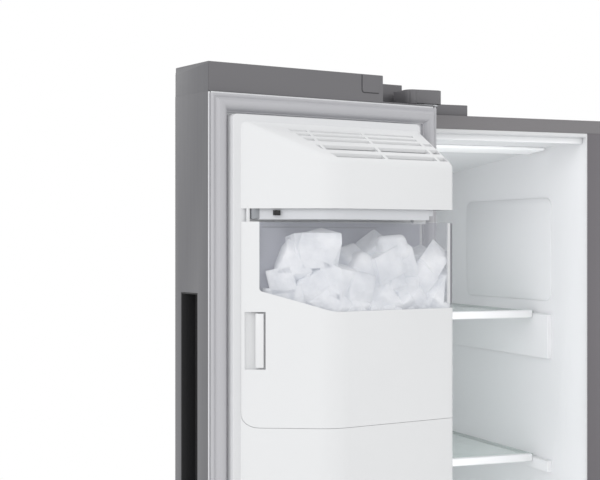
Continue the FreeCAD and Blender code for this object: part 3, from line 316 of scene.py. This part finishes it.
lens = finish("frosted_lens", tint(244, 245, 246), 0.5, frosted, Emission_Strength=0.05,
              Emission_Color=(1, 1, 1, 1))
softened("ceiling_lights", 0.0015, lens, 3)
MOUTH_LAMP_POWER, MOUTH_LAMP_GAP = 1.1, 0.004
WALL_LAMP_POWER, WALL_LAMP_GAP, WALL_LAMP_DEPTH, WALL_LAMP_WIDTH = 1.5, 0.012, 0.3, 0.5
LAMP_HEIGHT, LAMP_LEVEL = 1.5, 0.95
LIP_FRONT, LIP_BACK, LIP_DROP, LIP_HEIGHT, LIP_EDGE = 0.009, 0.021, 0.006, 0.011, 0.002
for part in ("freezer_liner", "fridge_liner"):
    low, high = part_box(part)
    middle = (low[0] + high[0]) / 2
    inside_wall = low[0] + LINER_FLANGE + WALL_LAMP_GAP
    for name, place, target, width, power in (
            ("_mouth_glow", (middle, low[1] - MOUTH_LAMP_GAP, LAMP_LEVEL), (middle, 1, LAMP_LEVEL),
             high[0] - low[0] - 3 * LINER_FLANGE, MOUTH_LAMP_POWER),
            ("_wall_glow", (inside_wall, WALL_LAMP_DEPTH, LAMP_LEVEL), (middle, WALL_LAMP_DEPTH, LAMP_LEVEL),
             WALL_LAMP_WIDTH, WALL_LAMP_POWER)):
        glow = lamp(part + name, place, target, width, power)
        glow.data.shape, glow.data.size_y = "RECTANGLE", LAMP_HEIGHT
        glow.visible_camera = False
    lip = bar((low[0] + LINER_FLANGE, LIP_FRONT, high[2] - LIP_DROP - LIP_HEIGHT),
              (high[0] - LINER_FLANGE, LIP_BACK, high[2] - LIP_DROP), LIP_EDGE, 3)
    fitted(part + "_lip", lip, part, white_sheet, stands_for=False)


def glassy(dark, light):
    """Clear sheet with a faint drift of colour."""

    def pattern(place, shader):
        place.noise(3).shades(dark, light).into(shader, "Base Color")
        place.noise(40, 1).relief(shader, 0.04, 0.0002)

    return pattern


shelf_sheet = finish("tempered_glass", tint(214, 228, 224), 0.06,
                     glassy(tint(208, 226, 221), tint(222, 233, 230)), Alpha=0.38, Coat_Weight=0.6)
softened("shelf_glass", 0.0006, shelf_sheet)
softened("shelf_trims", 0.003, white_moulding, 4)

# ------------------------------------------------------------------ drawers
# Clear moulded tubs that slide on runners low in both compartments.
# Their rims and corners are rounded where they leave the mould.
clear_moulding = finish("clear_moulding", tint(206, 214, 220), 0.12,
                        glassy(tint(200, 210, 217), tint(214, 221, 226)), Alpha=0.42, Coat_Weight=0.4)
for part in ("freezer_drawer_upper", "freezer_drawer_lower", "crisper_upper", "crisper_lower"):
    softened(part, 0.001, clear_moulding)

# ------------------------------------------------------------------ door skins
# Each door is a steel sheet folded round its front and sides, brushed upright on the front.
# Black pockets for the fingers run down the two edges that meet.


def brushed(dark, light, across, gloss):
    """Steel brushed along its height: upright streaks in tone and gloss, over a slow drift."""

    def pattern(place, shader):
        streak = place.noise(650, 2, (1, 1, 0.012))
        (streak * 0.7 + place.noise(5) * 0.3).shades(dark, light).into(shader, "Base Color")
        (streak * gloss + shader.inputs["Roughness"].default_value).into(shader, "Roughness")
        streak.relief(shader, across, 0.0002)

    return pattern


skin_steel = finish("brushed_skin", tint(112, 112, 115), 0.30,
                    brushed(tint(98, 98, 101), tint(118, 118, 121), 0.06, 0.12), Metallic=0.45)
pocket_black = finish("pocket_black", tint(24, 24, 26), 0.45, speckled(tint(20, 20, 22), tint(28, 28, 30)))
for part in ("freezer_door_skin", "fridge_door_skin"):
    softened(part, 0.0015, skin_steel, 3)
for part in ("freezer_handle_pocket", "fridge_handle_pocket"):
    softened(part, 0.0008, pocket_black)
for part in ("freezer_door_foam", "fridge_door_foam"):
    dressed(part, foam_filling)


def drawing_of(body):
    """From a door's own drawing, in millimetres along it, out of it and up, to its open place."""
    joint = next(joint for joint in frame["joints"] if joint["child"] == body)
    pin = Matrix.Translation(joint["pos_m"])
    swing = pin @ Matrix.Rotation(math.radians(-joint["range_deg"][0]), 4, joint["axis"]) @ pin.inverted()
    part = body + "_skin"
    shut = [swing.inverted() @ vertex.co for vertex in frame["nodes"][part].data.vertices]
    inward = -1 if body == "freezer_door" else 1
    free = max(spot.x * -inward for spot in shut) * -inward
    return swing @ Matrix.Translation((free, max(spot.y for spot in shut), 0)) @ Matrix.Diagonal(
        (0.001 * inward, 0.001, 0.001, 1))


def spread(part, drawing):
    """A CAD piece's lowest and highest corners on its door's drawing."""
    spots = [drawing.inverted() @ vertex.co for vertex in frame["nodes"][part].data.vertices]
    return [Vector(pick(spot[axis] for spot in spots) for axis in range(3)) for pick in (min, max)]


def carved(shape, *tools, keep=None):
    """The shape with each tool's space taken out of it, and only what lies within another shape."""
    blocks = []
    for block in filter(None, (shape, *tools, keep)):
        mesh = bpy.data.meshes.new("block")
        bmesh.ops.recalc_face_normals(block, faces=block.faces)
        block.to_mesh(mesh)
        block.free()
        blocks.append(bpy.data.objects.new("block", mesh))
        bpy.context.scene.collection.objects.link(blocks[-1])
    for tool in blocks[1:]:
        cut = blocks[0].modifiers.new("cut", "BOOLEAN")
        kept = keep and tool is blocks[-1]
        cut.operation, cut.solver, cut.object = "INTERSECT" if kept else "DIFFERENCE", "EXACT", tool
        cut.use_self = True
    made = bmesh.new()
    made.from_mesh(blocks[0].evaluated_get(bpy.context.evaluated_depsgraph_get()).to_mesh())
    for block in blocks:
        bpy.data.meshes.remove(block.data)
    bmesh.ops.remove_doubles(made, verts=made.verts, dist=0.01)
    return made


def upright(outline, low, high):
    """A solid that stands on an outline between two heights."""
    shape = bmesh.new()
    shape.faces.new([shape.verts.new((*spot, low)) for spot in outline])
    grown = bmesh.ops.extrude_face_region(shape, geom=shape.faces[:])["geom"]
    bmesh.ops.translate(shape, vec=(0, 0, high - low),
                        verts=[item for item in grown if isinstance(item, bmesh.types.BMVert)])
    bmesh.ops.recalc_face_normals(shape, faces=shape.faces)
    return shape


def facing(outline, back, front):
    """A solid whose outline is seen from the front, between two depths out of the door."""
    shape = upright(outline, back, front)
    swapped = Matrix(((1, 0, 0, 0), (0, 0, 1, 0), (0, 1, 0, 0), (0, 0, 0, 1)))
    bmesh.ops.transform(shape, matrix=swapped, verts=shape.verts)
    bmesh.ops.recalc_face_normals(shape, faces=shape.faces)
    return shape


def curved(*corners, steps=6):
    """A closed outline through (x, y, radius) corners, each rounded by its own radius."""
    outline = []
    for index, (across, along, radius) in enumerate(corners):
        here = Vector((across, along))
        if not radius:
            outline.append(here)
            continue
        before = (Vector(corners[index - 1][:2]) - here).normalized()
        after = (Vector(corners[(index + 1) % len(corners)][:2]) - here).normalized()
        half = before.angle(after) / 2
        middle = here + (before + after).normalized() * radius / math.sin(half)
        spoke = here + before * radius / math.tan(half) - middle
        last = here + after * radius / math.tan(half) - middle
        turn = spoke.angle(last) * math.copysign(1, spoke.x * last.y - spoke.y * last.x)
        outline += [middle + Matrix.Rotation(turn * step / steps, 2) @ spoke for step in range(steps + 1)]
    return outline


ON_FREEZER_DOOR, ON_FRIDGE_DOOR = drawing_of("freezer_door"), drawing_of("fridge_door")

# The hems are steel painted much lighter than the skin: a painted highlight along each door's folded back edges.
hem_painted_highlight = finish("hem_steel_painted_highlight", tint(222, 222, 225), 0.25,
                   brushed(tint(214, 214, 217), tint(230, 230, 233), 0.04, 0.1), Metallic=0.3)
HEM_WIDTH, HEM_HEIGHT, HEM_SUNK, HEM_EDGE = 2.4, 0.8, 0.2, 0.35
SIDE_SHEET, SIDE_PROUD, SIDE_EDGE = 0.9, 0.1, 0.3
for body, drawing, cap in (("freezer_door", ON_FREEZER_DOOR, "freezer_top_cap"),
                           ("fridge_door", ON_FRIDGE_DOOR, "fridge_door_caps")):
    low, high = spread(body + "_skin", drawing)
    cap_high = spread(cap, drawing)[1].z
    for edge, left in (("free", low.x), ("hinge", high.x - HEM_WIDTH)):
        hem = bar((left, high.y - HEM_SUNK, low.z + 2),
                  (left + HEM_WIDTH, high.y + HEM_HEIGHT, high.z - 1), HEM_EDGE)
        fitted(body + "_" + edge + "_hem", hem, body + "_skin", hem_painted_highlight, place=drawing, stands_for=False)
    side = upright(curved((low.y + 1, high.z - 0.6, 0), (high.y - 0.5, high.z - 0.6, 0),
                          (high.y - 0.5, cap_high - 1.5, 2), (low.y + 1, cap_high - 1.5, 9)), 0, SIDE_SHEET)
    eased(side, SIDE_EDGE, 2)
    onto_edge = Matrix(((0, 0, 1, low.x - SIDE_PROUD), (1, 0, 0, 0), (0, 1, 0, 0), (0, 0, 0, 1)))
    bmesh.ops.transform(side, matrix=onto_edge, verts=side.verts)
    fitted(body + "_side_top", side, body + "_skin", skin_steel, place=drawing, stands_for=False)

# ------------------------------------------------------------------ door caps and hinges
# Grey moulded caps close each door at its top and bottom, with a notch over the hinge and a square plug.
# Steel arms on the cabinet hold the pins, under moulded covers.
cap_grey = finish("cap_grey", tint(106, 105, 108), 0.46,
                  speckled(tint(102, 101, 104), tint(109, 108, 111), 1100, 0.0003))
groove_dark = finish("groove_dark", tint(62, 61, 64), 0.6, speckled(tint(58, 57, 60), tint(66, 65, 68)))
hinge_zinc = finish("hinge_zinc", tint(196, 197, 200), 0.28,
                    speckled(tint(184, 186, 190), tint(204, 205, 208), 300), Metallic=0.9)
for part in ("freezer_top_cap", "freezer_base_cap", "fridge_door_caps"):
    softened(part, 0.002, cap_grey, 3)
softened("hinge_covers", 0.003, cap_grey, 3)
cap_face = spread("freezer_top_cap", ON_FREEZER_DOOR)[1].y
PLUG_LEFT, PLUG_RIGHT, PLUG_LOW, PLUG_HIGH = 259.6, 291.3, 1754, 1781
for part, inset, rise, material in (("plug_groove", 0, 0.25, groove_dark), ("plug", 1.5, 0.7, cap_grey)):
    plug = facing(curved((PLUG_LEFT + inset, PLUG_HIGH, 0), (PLUG_LEFT + inset, PLUG_LOW + inset, 5 - inset),
                         (PLUG_RIGHT, PLUG_LOW + inset, 1), (PLUG_RIGHT, PLUG_HIGH, 0)), cap_face - 0.5,
                  cap_face + rise)
    eased(plug, 0.15, 1)
    fitted("freezer_cap_" + part, plug, "freezer_top_cap", material, place=ON_FREEZER_DOOR, stands_for=False)
BEAD_RADIUS, BEAD_INSET, BEAD_SETBACK, BEAD_FOOT, BEAD_EDGE = 0.0065, 0.0105, 0.0045, 1.7455, 0.0015
nose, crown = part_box("hinge_covers")
for side, name in ((-1, "left"), (1, "right")):
    bead = bmesh.new()
    bmesh.ops.create_cone(bead, cap_ends=True, segments=20, radius1=BEAD_RADIUS, radius2=BEAD_RADIUS,
                          depth=crown[2] - BEAD_FOOT)
    eased(bead, BEAD_EDGE, 3, 60)
    spot = (side * (crown[0] - BEAD_INSET), nose[1] + BEAD_SETBACK, (crown[2] + BEAD_FOOT) / 2)
    bmesh.ops.translate(bead, vec=spot, verts=bead.verts)
    fitted("hinge_cover_bead_" + name, bead, "hinge_covers", cap_grey, stands_for=False)
for part in ("top_hinges", "bottom_hinges", "hinge_screws"):
    softened(part, 0.0006, hinge_zinc)

# ------------------------------------------------------------------ door liners, seals and bins
# The white inner face is drawn from one sheet, with a raised step round the field where bins hang.
# A soft magnetic seal is pushed into a groove round its edge.
seal_vinyl = finish("seal_vinyl", tint(178, 178, 182), 0.5,
                    speckled(tint(172, 172, 176), tint(184, 184, 188)))
for part in ("freezer_door_liner", "fridge_door_liner"):
    softened(part, 0.0018, white_sheet, 3)
SEAL_SECTION = ((0, 0), (0, 5.5), (0.8, 6.6), (2.2, 7), (3.6, 6.4), (4.6, 5.8), (5.8, 6.6), (8, 9.6),
                (10.5, 12), (13, 13), (15.5, 13), (18, 12), (20.5, 9.4), (22.3, 6.2), (23.4, 4.2), (25, 3.8),
                (25, 0))
for body, drawing in (("freezer_door", ON_FREEZER_DOOR), ("fridge_door", ON_FRIDGE_DOOR)):
    part = body + "_gasket"
    low, high = spread(part, drawing)
    seal = bmesh.new()
    rings = []
    for inset, rise in SEAL_SECTION:
        corners = [seal.verts.new((across, low.y + rise, up)) for across, up in (
            (low.x + inset, low.z + inset), (high.x - inset, low.z + inset),
            (high.x - inset, high.z - inset), (low.x + inset, high.z - inset))]
        rings.append([seal.edges.new((corners[index - 1], corners[index])) for index in range(4)])
    for index, ring in enumerate(rings):
        bmesh.ops.bridge_loops(seal, edges=rings[index - 1] + ring)
    bmesh.ops.recalc_face_normals(seal, faces=seal.faces)
    fitted(part + "_finished", seal, part, seal_vinyl, 44, drawing)
for part in ("freezer_door_bins", "fridge_door_bins"):
    softened(part, 0.001, clear_moulding)

# ------------------------------------------------------------------ ice maker housing
# A white moulded cover over the tray, with a slanting left side and a roof that falls to the front.
# Cold air leaves by five rows of slots in the roof, crossed by three ribs. It clips to the door's inner face.


def rounded_upright(shape, corner, radius, segments):
    """Rounds the upright edge that stands on a corner."""
    edges = [edge for edge in shape.edges if abs(edge.verts[0].co.z - edge.verts[1].co.z) > 1
             and math.dist(edge.verts[0].co.xy, corner) < 0.5]
    bmesh.ops.bevel(shape, geom=edges, offset=radius * math.tan(edges[0].calc_face_angle() / 2),
                    offset_type="OFFSET", segments=segments, profile=0.5, affect="EDGES", clamp_overlap=False,
                    material=-1)


near, far = spread("ice_housing", ON_FREEZER_DOOR)
CORNER_ROUND, SHOULDER_ROUND, FACET_END = 8, 60, 142
facet_run, facet_rise = FACET_END - near.x, far.y - near.y
facet_slant = math.hypot(facet_run, facet_rise)


def ice_block(low, high, inset=0, back=None):
    """The plan that every ice maker case shares, standing between two heights, less an inset."""
    back = near.y if back is None else back
    front = far.y - inset
    left = near.x + inset * facet_slant / facet_rise + (back - near.y) * facet_run / facet_rise
    shoulder = FACET_END + inset * (facet_slant - facet_run) / facet_rise
    right = far.x - inset
    shape = upright([(left, back), (shoulder, front), (right, front), (right, back)], low, high)
    rounded_upright(shape, (shoulder, front), SHOULDER_ROUND, 14)
    rounded_upright(shape, (right, front), max(CORNER_ROUND - inset, 1), 5)
    return shape


def roofed(shape, rear, front):
    """Cuts a case's top to a roof that falls from one (depth, height) spot to another."""
    slope = Vector((0, rear[1] - front[1], front[0] - rear[0])).normalized()
    cut = bmesh.ops.bisect_plane(shape, geom=[*shape.verts, *shape.edges, *shape.faces],
                                 plane_co=(0, *rear), plane_no=slope, clear_outer=True)["geom_cut"]
    bmesh.ops.contextual_create(shape, geom=[item for item in cut if isinstance(item, bmesh.types.BMEdge)])
    bmesh.ops.recalc_face_normals(shape, faces=shape.faces)


ROOF_FRONT, ROOF_SPARE, CASE_WALL, BROW_ROUND, BROW_START = 1646, 10, 3, 10, 21
housing = ice_block(near.z, far.z + ROOF_SPARE)
roofed(housing, (near.y, far.z), (far.y, ROOF_FRONT))
brow = [edge for edge in housing.edges if edge.is_manifold and edge.calc_face_angle() > 0.5
        and min(vert.co.z for vert in edge.verts) > ROOF_FRONT - 1
        and max(vert.co.y for vert in edge.verts) > BROW_START]
bmesh.ops.bevel(housing, geom=brow, offset=BROW_ROUND, offset_type="OFFSET", segments=6, profile=0.5,
                affect="EDGES", clamp_overlap=True, material=-1)
hollow = ice_block(near.z - 5, far.z + ROOF_SPARE, CASE_WALL, near.y + CASE_WALL)
roofed(hollow, (near.y, far.z - 5), (far.y, ROOF_FRONT - 5))
SLOT_ROWS = ((33.5, 37.5), (42, 47), (51.5, 58), (66.5, 76.5), (84, 93))
SLOT_RIBS, RIB_HALF, SLOTS_END = (141, 236, 330), 2.6, 347
SLANT_START, SLANT_DEPTH, SLANT_DRIFT = 108, 34, 0.72
slots = []
for row, (rear, front) in enumerate(SLOT_ROWS):
    for place, rib in enumerate((*SLOT_RIBS, SLOTS_END)):
        slanting = place == 0 or (row, place) == (4, 1)
        rear_start, front_start = [SLANT_START + SLANT_DRIFT * (depth - SLANT_DEPTH) if slanting else
                                   SLOT_RIBS[place - 1] + RIB_HALF for depth in (rear, front)]
        stop = rib if rib == SLOTS_END else rib - RIB_HALF
        if (row, place) in ((4, 0), (0, 3), (1, 3)) or rear_start > stop - 2:
            continue
        ends = [(rear_start, rear), (stop, rear), (stop, front), (min(front_start, stop - 0.5), front)]
        slots.append(upright(ends, ROOF_FRONT - 30, far.z + 20))
fitted("ice_housing_cover", carved(housing, hollow, *slots), "ice_housing", white_moulding, 30,
       ON_FREEZER_DOOR)

# ------------------------------------------------------------------ tray and drive
# The ice tray and its drive hang inside the housing, in a pale frame that shows just below it.
# A black eye on the frame watches how high the ice has risen.
tray_grey = finish("tray_grey", tint(150, 153, 158), 0.4,
                   speckled(tint(144, 147, 152), tint(156, 159, 163)))
frame_pale = finish("tray_frame", tint(206, 208, 212), 0.35,
                    speckled(tint(202, 204, 208), tint(211, 213, 217)))
for part in ("ice_drive_box", "ice_tray"):
    softened(part, 0.0008, tray_grey)
FRAME_LOW, FRAME_HIGH, FRAME_INSET, FRAME_WALL = 1565, 1590, 7, 2.4
FRAME_LEFT, FRAME_RIGHT = 62, 312
reach = block((FRAME_LEFT, near.y + 8, FRAME_LOW - 1), (FRAME_RIGHT, far.y, FRAME_HIGH + 1))
tray_frame = carved(ice_block(FRAME_LOW, FRAME_HIGH, FRAME_INSET),
                    ice_block(FRAME_LOW - 1, FRAME_HIGH + 1, FRAME_INSET + FRAME_WALL, near.y - 1),
                    keep=reach)
fitted("tray_frame", tray_frame, "ice_drive_box", frame_pale, 30, ON_FREEZER_DOOR, stands_for=False)
for name, low, high, material in (
        ("tray_frame_step", (288, 84, 1571), (320, 92, 1588), frame_pale),
        ("ice_level_eye", (77, 44, 1570.5), (84.5, 52, 1577.5), pocket_black),
        ("fill_arm_tab", (307, 56, 1560), (330, 63, 1569.5), white_moulding),
        ("fill_arm_stem", (318, 58, 1566), (323, 61, 1588), white_moulding),
        ("housing_clip", (47, 22, 1560), (51, 26.5, 1584), white_moulding),
        ("housing_clip_foot", (53, 22, 1566), (72, 30, 1582), tray_grey)):
    fitted(name, bar(low, high), "ice_drive_box", material, place=ON_FREEZER_DOOR, stands_for=False)

# ------------------------------------------------------------------ ice bucket and lower cover
# The bucket is white below, with a clear window let into its front and right side above.
# It pulls off the door, and a lower cover under it leads the ice to the dispenser.
bucket_clear = finish("bucket_clear", tint(188, 190, 198), 0.08,
                      glassy(tint(182, 184, 193), tint(196, 198, 205)), Alpha=0.15, Coat_Weight=0.5)
# A bluish grey of painted shade for the inside of the bucket's back wall.
bucket_painted_shade = finish("bucket_painted_shade", tint(172, 174, 184), 0.35,
                      speckled(tint(166, 168, 178), tint(178, 180, 189)))
# A dark strip of painted shade for the window's rounded right corner, where the clear wall bends the view darker.
edge_painted_shade = finish("edge_painted_shade", tint(112, 112, 118), 0.2, glassy(tint(104, 104, 110), tint(124, 124, 130)),
                    Coat_Weight=0.5)
bucket_low, bucket_high = spread("ice_bucket_body", ON_FREEZER_DOOR)
cover_low = spread("ice_lower_cover", ON_FREEZER_DOOR)[0]
BEYOND, FOOT_ROUND, PARTING = 12, 19, 0.5
WINDOW_LEFT, WINDOW_SILL, WINDOW_RIGHT = 60.3, 1438.5, 366
WINDOW_OUTLINE = curved((WINDOW_LEFT, bucket_high.z + BEYOND, 0), (WINDOW_LEFT, 1467, 5),
                        (FACET_END, WINDOW_SILL, 60), (WINDOW_RIGHT, WINDOW_SILL, 0),
                        (WINDOW_RIGHT, bucket_high.z + BEYOND, 0), steps=8)


def front_of_bucket(gap):
    """The bucket's outline from the front, with its rounded lower left corner, grown by a gap."""
    left, low = bucket_low.x - gap, bucket_low.z - gap
    top = bucket_high.z + BEYOND
    return facing(curved((left, top, 0), (left, low, FOOT_ROUND + gap), (WINDOW_RIGHT, low, 0),
                         (WINDOW_RIGHT, top, 0)), -BEYOND, far.y + BEYOND)


def window_opening():
    """The space cut for the window, through the bucket's front and right side."""
    return facing(WINDOW_OUTLINE, bucket_low.y + CASE_WALL + 0.5, far.y + BEYOND)


def along_facet(place, depth):
    """A spot on the facet's plan, at a place along the door and a depth below its face."""
    return (place + depth * facet_rise / facet_slant,
            near.y + (place - near.x) * facet_rise / facet_run - depth * facet_run / facet_slant)


SCOOP_LOW, SCOOP_HIGH, SCOOP_DEPTH = 1359, 1438, 8.5
scoop = upright([along_facet(*spot) for spot in (
    (43.6, -2), (44.2, 0), (45.2, 2.2), (47, 4.2), (50, 6.2), (54, 7.8), (58, SCOOP_DEPTH), (66, SCOOP_DEPTH),
    (67, SCOOP_DEPTH - 1), (67, -2))], SCOOP_LOW, SCOOP_HIGH)
RIM_START, RIM_LEAN, RIM_ROUND = 57, 0.2, 4
rims = [edge for edge in scoop.edges if abs(edge.verts[0].co.z - edge.verts[1].co.z) < 0.1
        and min(vert.co.x - vert.co.y * RIM_LEAN for vert in edge.verts) > RIM_START]
bmesh.ops.bevel(scoop, geom=rims, offset=RIM_ROUND, offset_type="OFFSET", segments=4, profile=0.5,
                affect="EDGES", clamp_overlap=True, material=-1)
bucket = ice_block(bucket_low.z, bucket_high.z, 0, bucket_low.y)
backing = upright([along_facet(*spot) for spot in (
    (44, CASE_WALL - 1), (70, CASE_WALL - 1), (70, SCOOP_DEPTH + 2.2), (44, SCOOP_DEPTH + 2.2))],
    SCOOP_LOW - 6, SCOOP_HIGH - 1)
well = ice_block(bucket_low.z + CASE_WALL, bucket_high.z + BEYOND, CASE_WALL, bucket_low.y + CASE_WALL)
shell = carved(bucket, carved(well, backing), window_opening(), scoop, keep=front_of_bucket(0))
fitted("ice_bucket_shell", shell, "ice_bucket_body", white_moulding, 30, ON_FREEZER_DOOR)
window_low = spread("ice_bucket_window", ON_FREEZER_DOOR)[0].z


def window_shell(inset, wall):
    """The clear wall inside the bucket's outline, between two insets."""
    inside = ice_block(window_low - BEYOND, bucket_high.z + BEYOND, wall, bucket_low.y)
    return carved(ice_block(window_low, bucket_high.z - 0.2, inset, bucket_low.y + CASE_WALL), inside)


fitted("ice_bucket_clear_front", carved(window_shell(0.1, 2.6), keep=window_opening()), "ice_bucket_window",
       bucket_clear, 30, ON_FREEZER_DOOR)
# Two upright strips in the clear wall: a dark one of painted shade at its rounded corner, and a white one of
# painted highlight just inside it.
for name, left, right, material in (("window_edge", far.x - 8, WINDOW_RIGHT, edge_painted_shade),
                                    ("window_rib", far.x - 12.5, far.x - 8.4, white_moulding)):
    column = block((left, far.y - 12, window_low + 7), (right, far.y + BEYOND, bucket_high.z - 1))
    fitted("ice_bucket_" + name, carved(window_shell(0.3, 3.2), keep=column), "ice_bucket_window", material,
           30, ON_FREEZER_DOOR, stands_for=False)
inside_back = bucket_low.y + CASE_WALL
# The back piece is a thin bluish grey sheet of painted shade laid over the bucket's inner back wall.
for name, low, high, width, material in (
        ("back_sheet", (62, inside_back - 0.1, 1330),
         (far.x - CASE_WALL - 1, inside_back + 0.6, bucket_high.z - 0.5), 0.2, bucket_painted_shade),
        ("back_rib", (72, inside_back - 0.2, 1553.6), (272, inside_back + 1.4, 1555.4), 0.3, tray_grey),
        ("bearing", (130, 46, bucket_low.z + 2), (134, 74, 1345), 0.3, white_moulding)):
    fitted("ice_bucket_" + name, bar(low, high, width), "ice_bucket_body", material, place=ON_FREEZER_DOOR,
           stands_for=False)
cover = ice_block(cover_low.z, bucket_low.z + FOOT_ROUND + 4, 0, cover_low.y)
cellar = ice_block(cover_low.z + CASE_WALL, bucket_low.z - 1.2, CASE_WALL, cover_low.y + CASE_WALL)
fitted("ice_lower_case", carved(cover, cellar, front_of_bucket(PARTING)), "ice_lower_cover", white_moulding,
       30, ON_FREEZER_DOOR)
softened("auger", 0.0006, hinge_zinc)

# ------------------------------------------------------------------ bucket latch
# A white lever stands in the scoop on the slanting side of the bucket, on an upright pin.
# A finger behind its right edge pulls it open against a spring.
lever = upright([along_facet(*spot) for spot in (
    (55.6, 2.6), (56.6, 1.2), (58.5, 0.5), (64, 0.4), (65, 1.2), (65, 3.4), (62, 5.2), (57, 5.4),
    (55.6, 4.4))],
    SCOOP_LOW + 2.2, SCOOP_HIGH - 2.2)
eased(lever, 0.9, 3, 50)
fitted("latch_lever", lever, "bucket_latch", white_moulding, 30, ON_FREEZER_DOOR)

# ------------------------------------------------------------------ ice
# Cloudy lumps as the tray drops them, heaped up behind the clear half of the bucket.
# Each is a cube with melted edges, turned its own way, and pressed flat where it meets the walls.


def cloudy(place, shader):
    cloud = place.noise(30, 4) * 1.8 - 0.4
    cloud.shades(tint(206, 209, 215), tint(252, 252, 253)).into(shader, "Base Color")
    place.noise(85, 3).relief(shader, 0.6, 0.005)


# The ice has a faint bluish emission: a painted glow that stands in for light passing through it.
ice_with_painted_glow = finish("ice_with_painted_glow", tint(236, 238, 241), 0.35, cloudy, Coat_Weight=0.3, Emission_Strength=0.12,
                  Emission_Color=(0.9, 0.95, 1, 1))
chance = random.Random(11)
ICE_PITCH, ICE_EASE = 31, 9
LAYER_RISE = 0.8 * ICE_PITCH
SMALLEST, LARGEST, ICE_PLAY = 34, 50, (7, 4, 6)
inner_low, inner_high = spread("ice_pile", ON_FREEZER_DOOR)
SHEER = Vector((-facet_rise, facet_run, 0)).normalized()
WALLS = ((Vector((*along_facet(90, SCOOP_DEPTH + 3), 0)), SHEER),
         (Vector((0, far.y - CASE_WALL - 0.8, 0)), Vector((0, 1, 0))),
         (Vector((far.x - CASE_WALL - 1, 0, 0)), Vector((1, 0, 0))),
         (Vector((0, bucket_low.y + CASE_WALL + 0.5, 0)), Vector((0, -1, 0))))


def heap_top(along):
    """How high the ice stands at a place along the door."""
    peaks = ((88, 20, 26), (132, 24, 44), (200, 22, 28), (262, 24, 52), (325, 34, 26))
    return 1494 + max(rise * math.exp(-((along - place) / reach) ** 2) for place, reach, rise in peaks)


def cut_flat(chunk):
    """Takes off what would stick through the bucket's walls, and closes the cut."""
    for wall, out in WALLS:
        rim = bmesh.ops.bisect_plane(chunk, geom=[*chunk.verts, *chunk.edges, *chunk.faces], plane_co=wall,
                                     plane_no=out, clear_outer=True)["geom_cut"]
        edges = [item for item in rim if isinstance(item, bmesh.types.BMEdge)]
        bmesh.ops.contextual_create(chunk, geom=edges)
    bmesh.ops.recalc_face_normals(chunk, faces=chunk.faces)


heap = bmesh.new()
layer, height = 0, inner_low.z + 14
while height < inner_high.z + 60:
    along = near.x + 30 + (layer % 2) * ICE_PITCH / 2
    while along < far.x:
        for depth in (bucket_low.y + 22, far.y - 26):
            spot = Vector([centre + chance.uniform(-play, play)
                           for centre, play in zip((along, depth, height), ICE_PLAY)])
            size = [chance.uniform(SMALLEST, LARGEST) for _ in range(3)]
            turn = Matrix.Rotation(chance.uniform(0, 6.28), 4, Vector(
                [chance.uniform(-1, 1) for _ in range(3)]).normalized())
            if spot.z + 10 > heap_top(spot.x) or any((spot - wall).dot(out) > 0 for wall, out in WALLS):
                continue
            chunk = bmesh.new()
            bmesh.ops.create_cube(chunk, size=1)
            for vert in chunk.verts:
                vert.co *= 1 + chance.uniform(-0.14, 0.10)
            bmesh.ops.transform(chunk, matrix=Matrix.Translation(spot) @ turn @ Matrix.Diagonal((*size, 1)),
                                verts=chunk.verts)
            cut_flat(chunk)
            eased(chunk, ICE_EASE, 3, 20)
            melted = bpy.data.meshes.new("chunk")
            chunk.to_mesh(melted)
            chunk.free()
            heap.from_mesh(melted)
            bpy.data.meshes.remove(melted)
        along += ICE_PITCH
    layer += 1
    height += LAYER_RISE
fitted("ice_heap", heap, "ice_pile", ice_with_painted_glow, 50, ON_FREEZER_DOOR)

# ------------------------------------------------------------------ dispenser
# A black recess in the door's front, with a paddle that a glass pushes and a tray for drips.
# A gloss black panel above it holds the lamps and touch keys.
panel_black = finish("panel_black", tint(14, 14, 16), 0.08, speckled(tint(12, 12, 14), tint(17, 17, 19), 30),
                     Coat_Weight=1.0)
drip_grey = finish("drip_grey", tint(92, 92, 95), 0.4, speckled(tint(86, 86, 89), tint(97, 97, 100)))
softened("dispenser_recess", 0.002, pocket_black)
softened("dispenser_panel", 0.0012, panel_black)
softened("dispenser_paddle", 0.001, pocket_black)
softened("drip_tray", 0.0012, drip_grey)

# ------------------------------------------------------------------ machine room and running gear
# Compressor, condenser and fan sit on rails behind the louvred cover, and the cold coil behind the freezer.
# Rollers carry the back, and two feet screw down at the front behind a slotted grille.
coil_metal = finish("coil_metal", tint(196, 198, 200), 0.35,
                    speckled(tint(184, 186, 188), tint(206, 207, 209), 200), Metallic=0.9)
machine_black = finish("machine_black", tint(26, 26, 27), 0.35, speckled(tint(22, 22, 23), tint(32, 32, 33)))
nylon = finish("nylon", tint(226, 226, 221), 0.4, speckled(tint(220, 220, 215), tint(230, 230, 226)))
rubber = finish("rubber", tint(32, 32, 33), 0.7, speckled(tint(27, 27, 28), tint(38, 38, 39), 500, 0.0005))
brass = finish("brass", tint(196, 160, 92), 0.28, speckled(tint(182, 146, 80), tint(206, 172, 106), 250),
               Metallic=1.0)
for part, material in (("base_frame", zinc), ("toe_grille", cap_grey), ("compressor", machine_black),
                       ("fan_motors", machine_black), ("evaporator", coil_metal), ("condenser", coil_metal),
                       ("condenser_fan", machine_black), ("evaporator_fan", nylon), ("water_filter", nylon),
                       ("rear_rollers", rubber), ("foot_left", rubber), ("foot_right", rubber),
                       ("rear_fittings", brass)):
    softened(part, 0.0008, material)
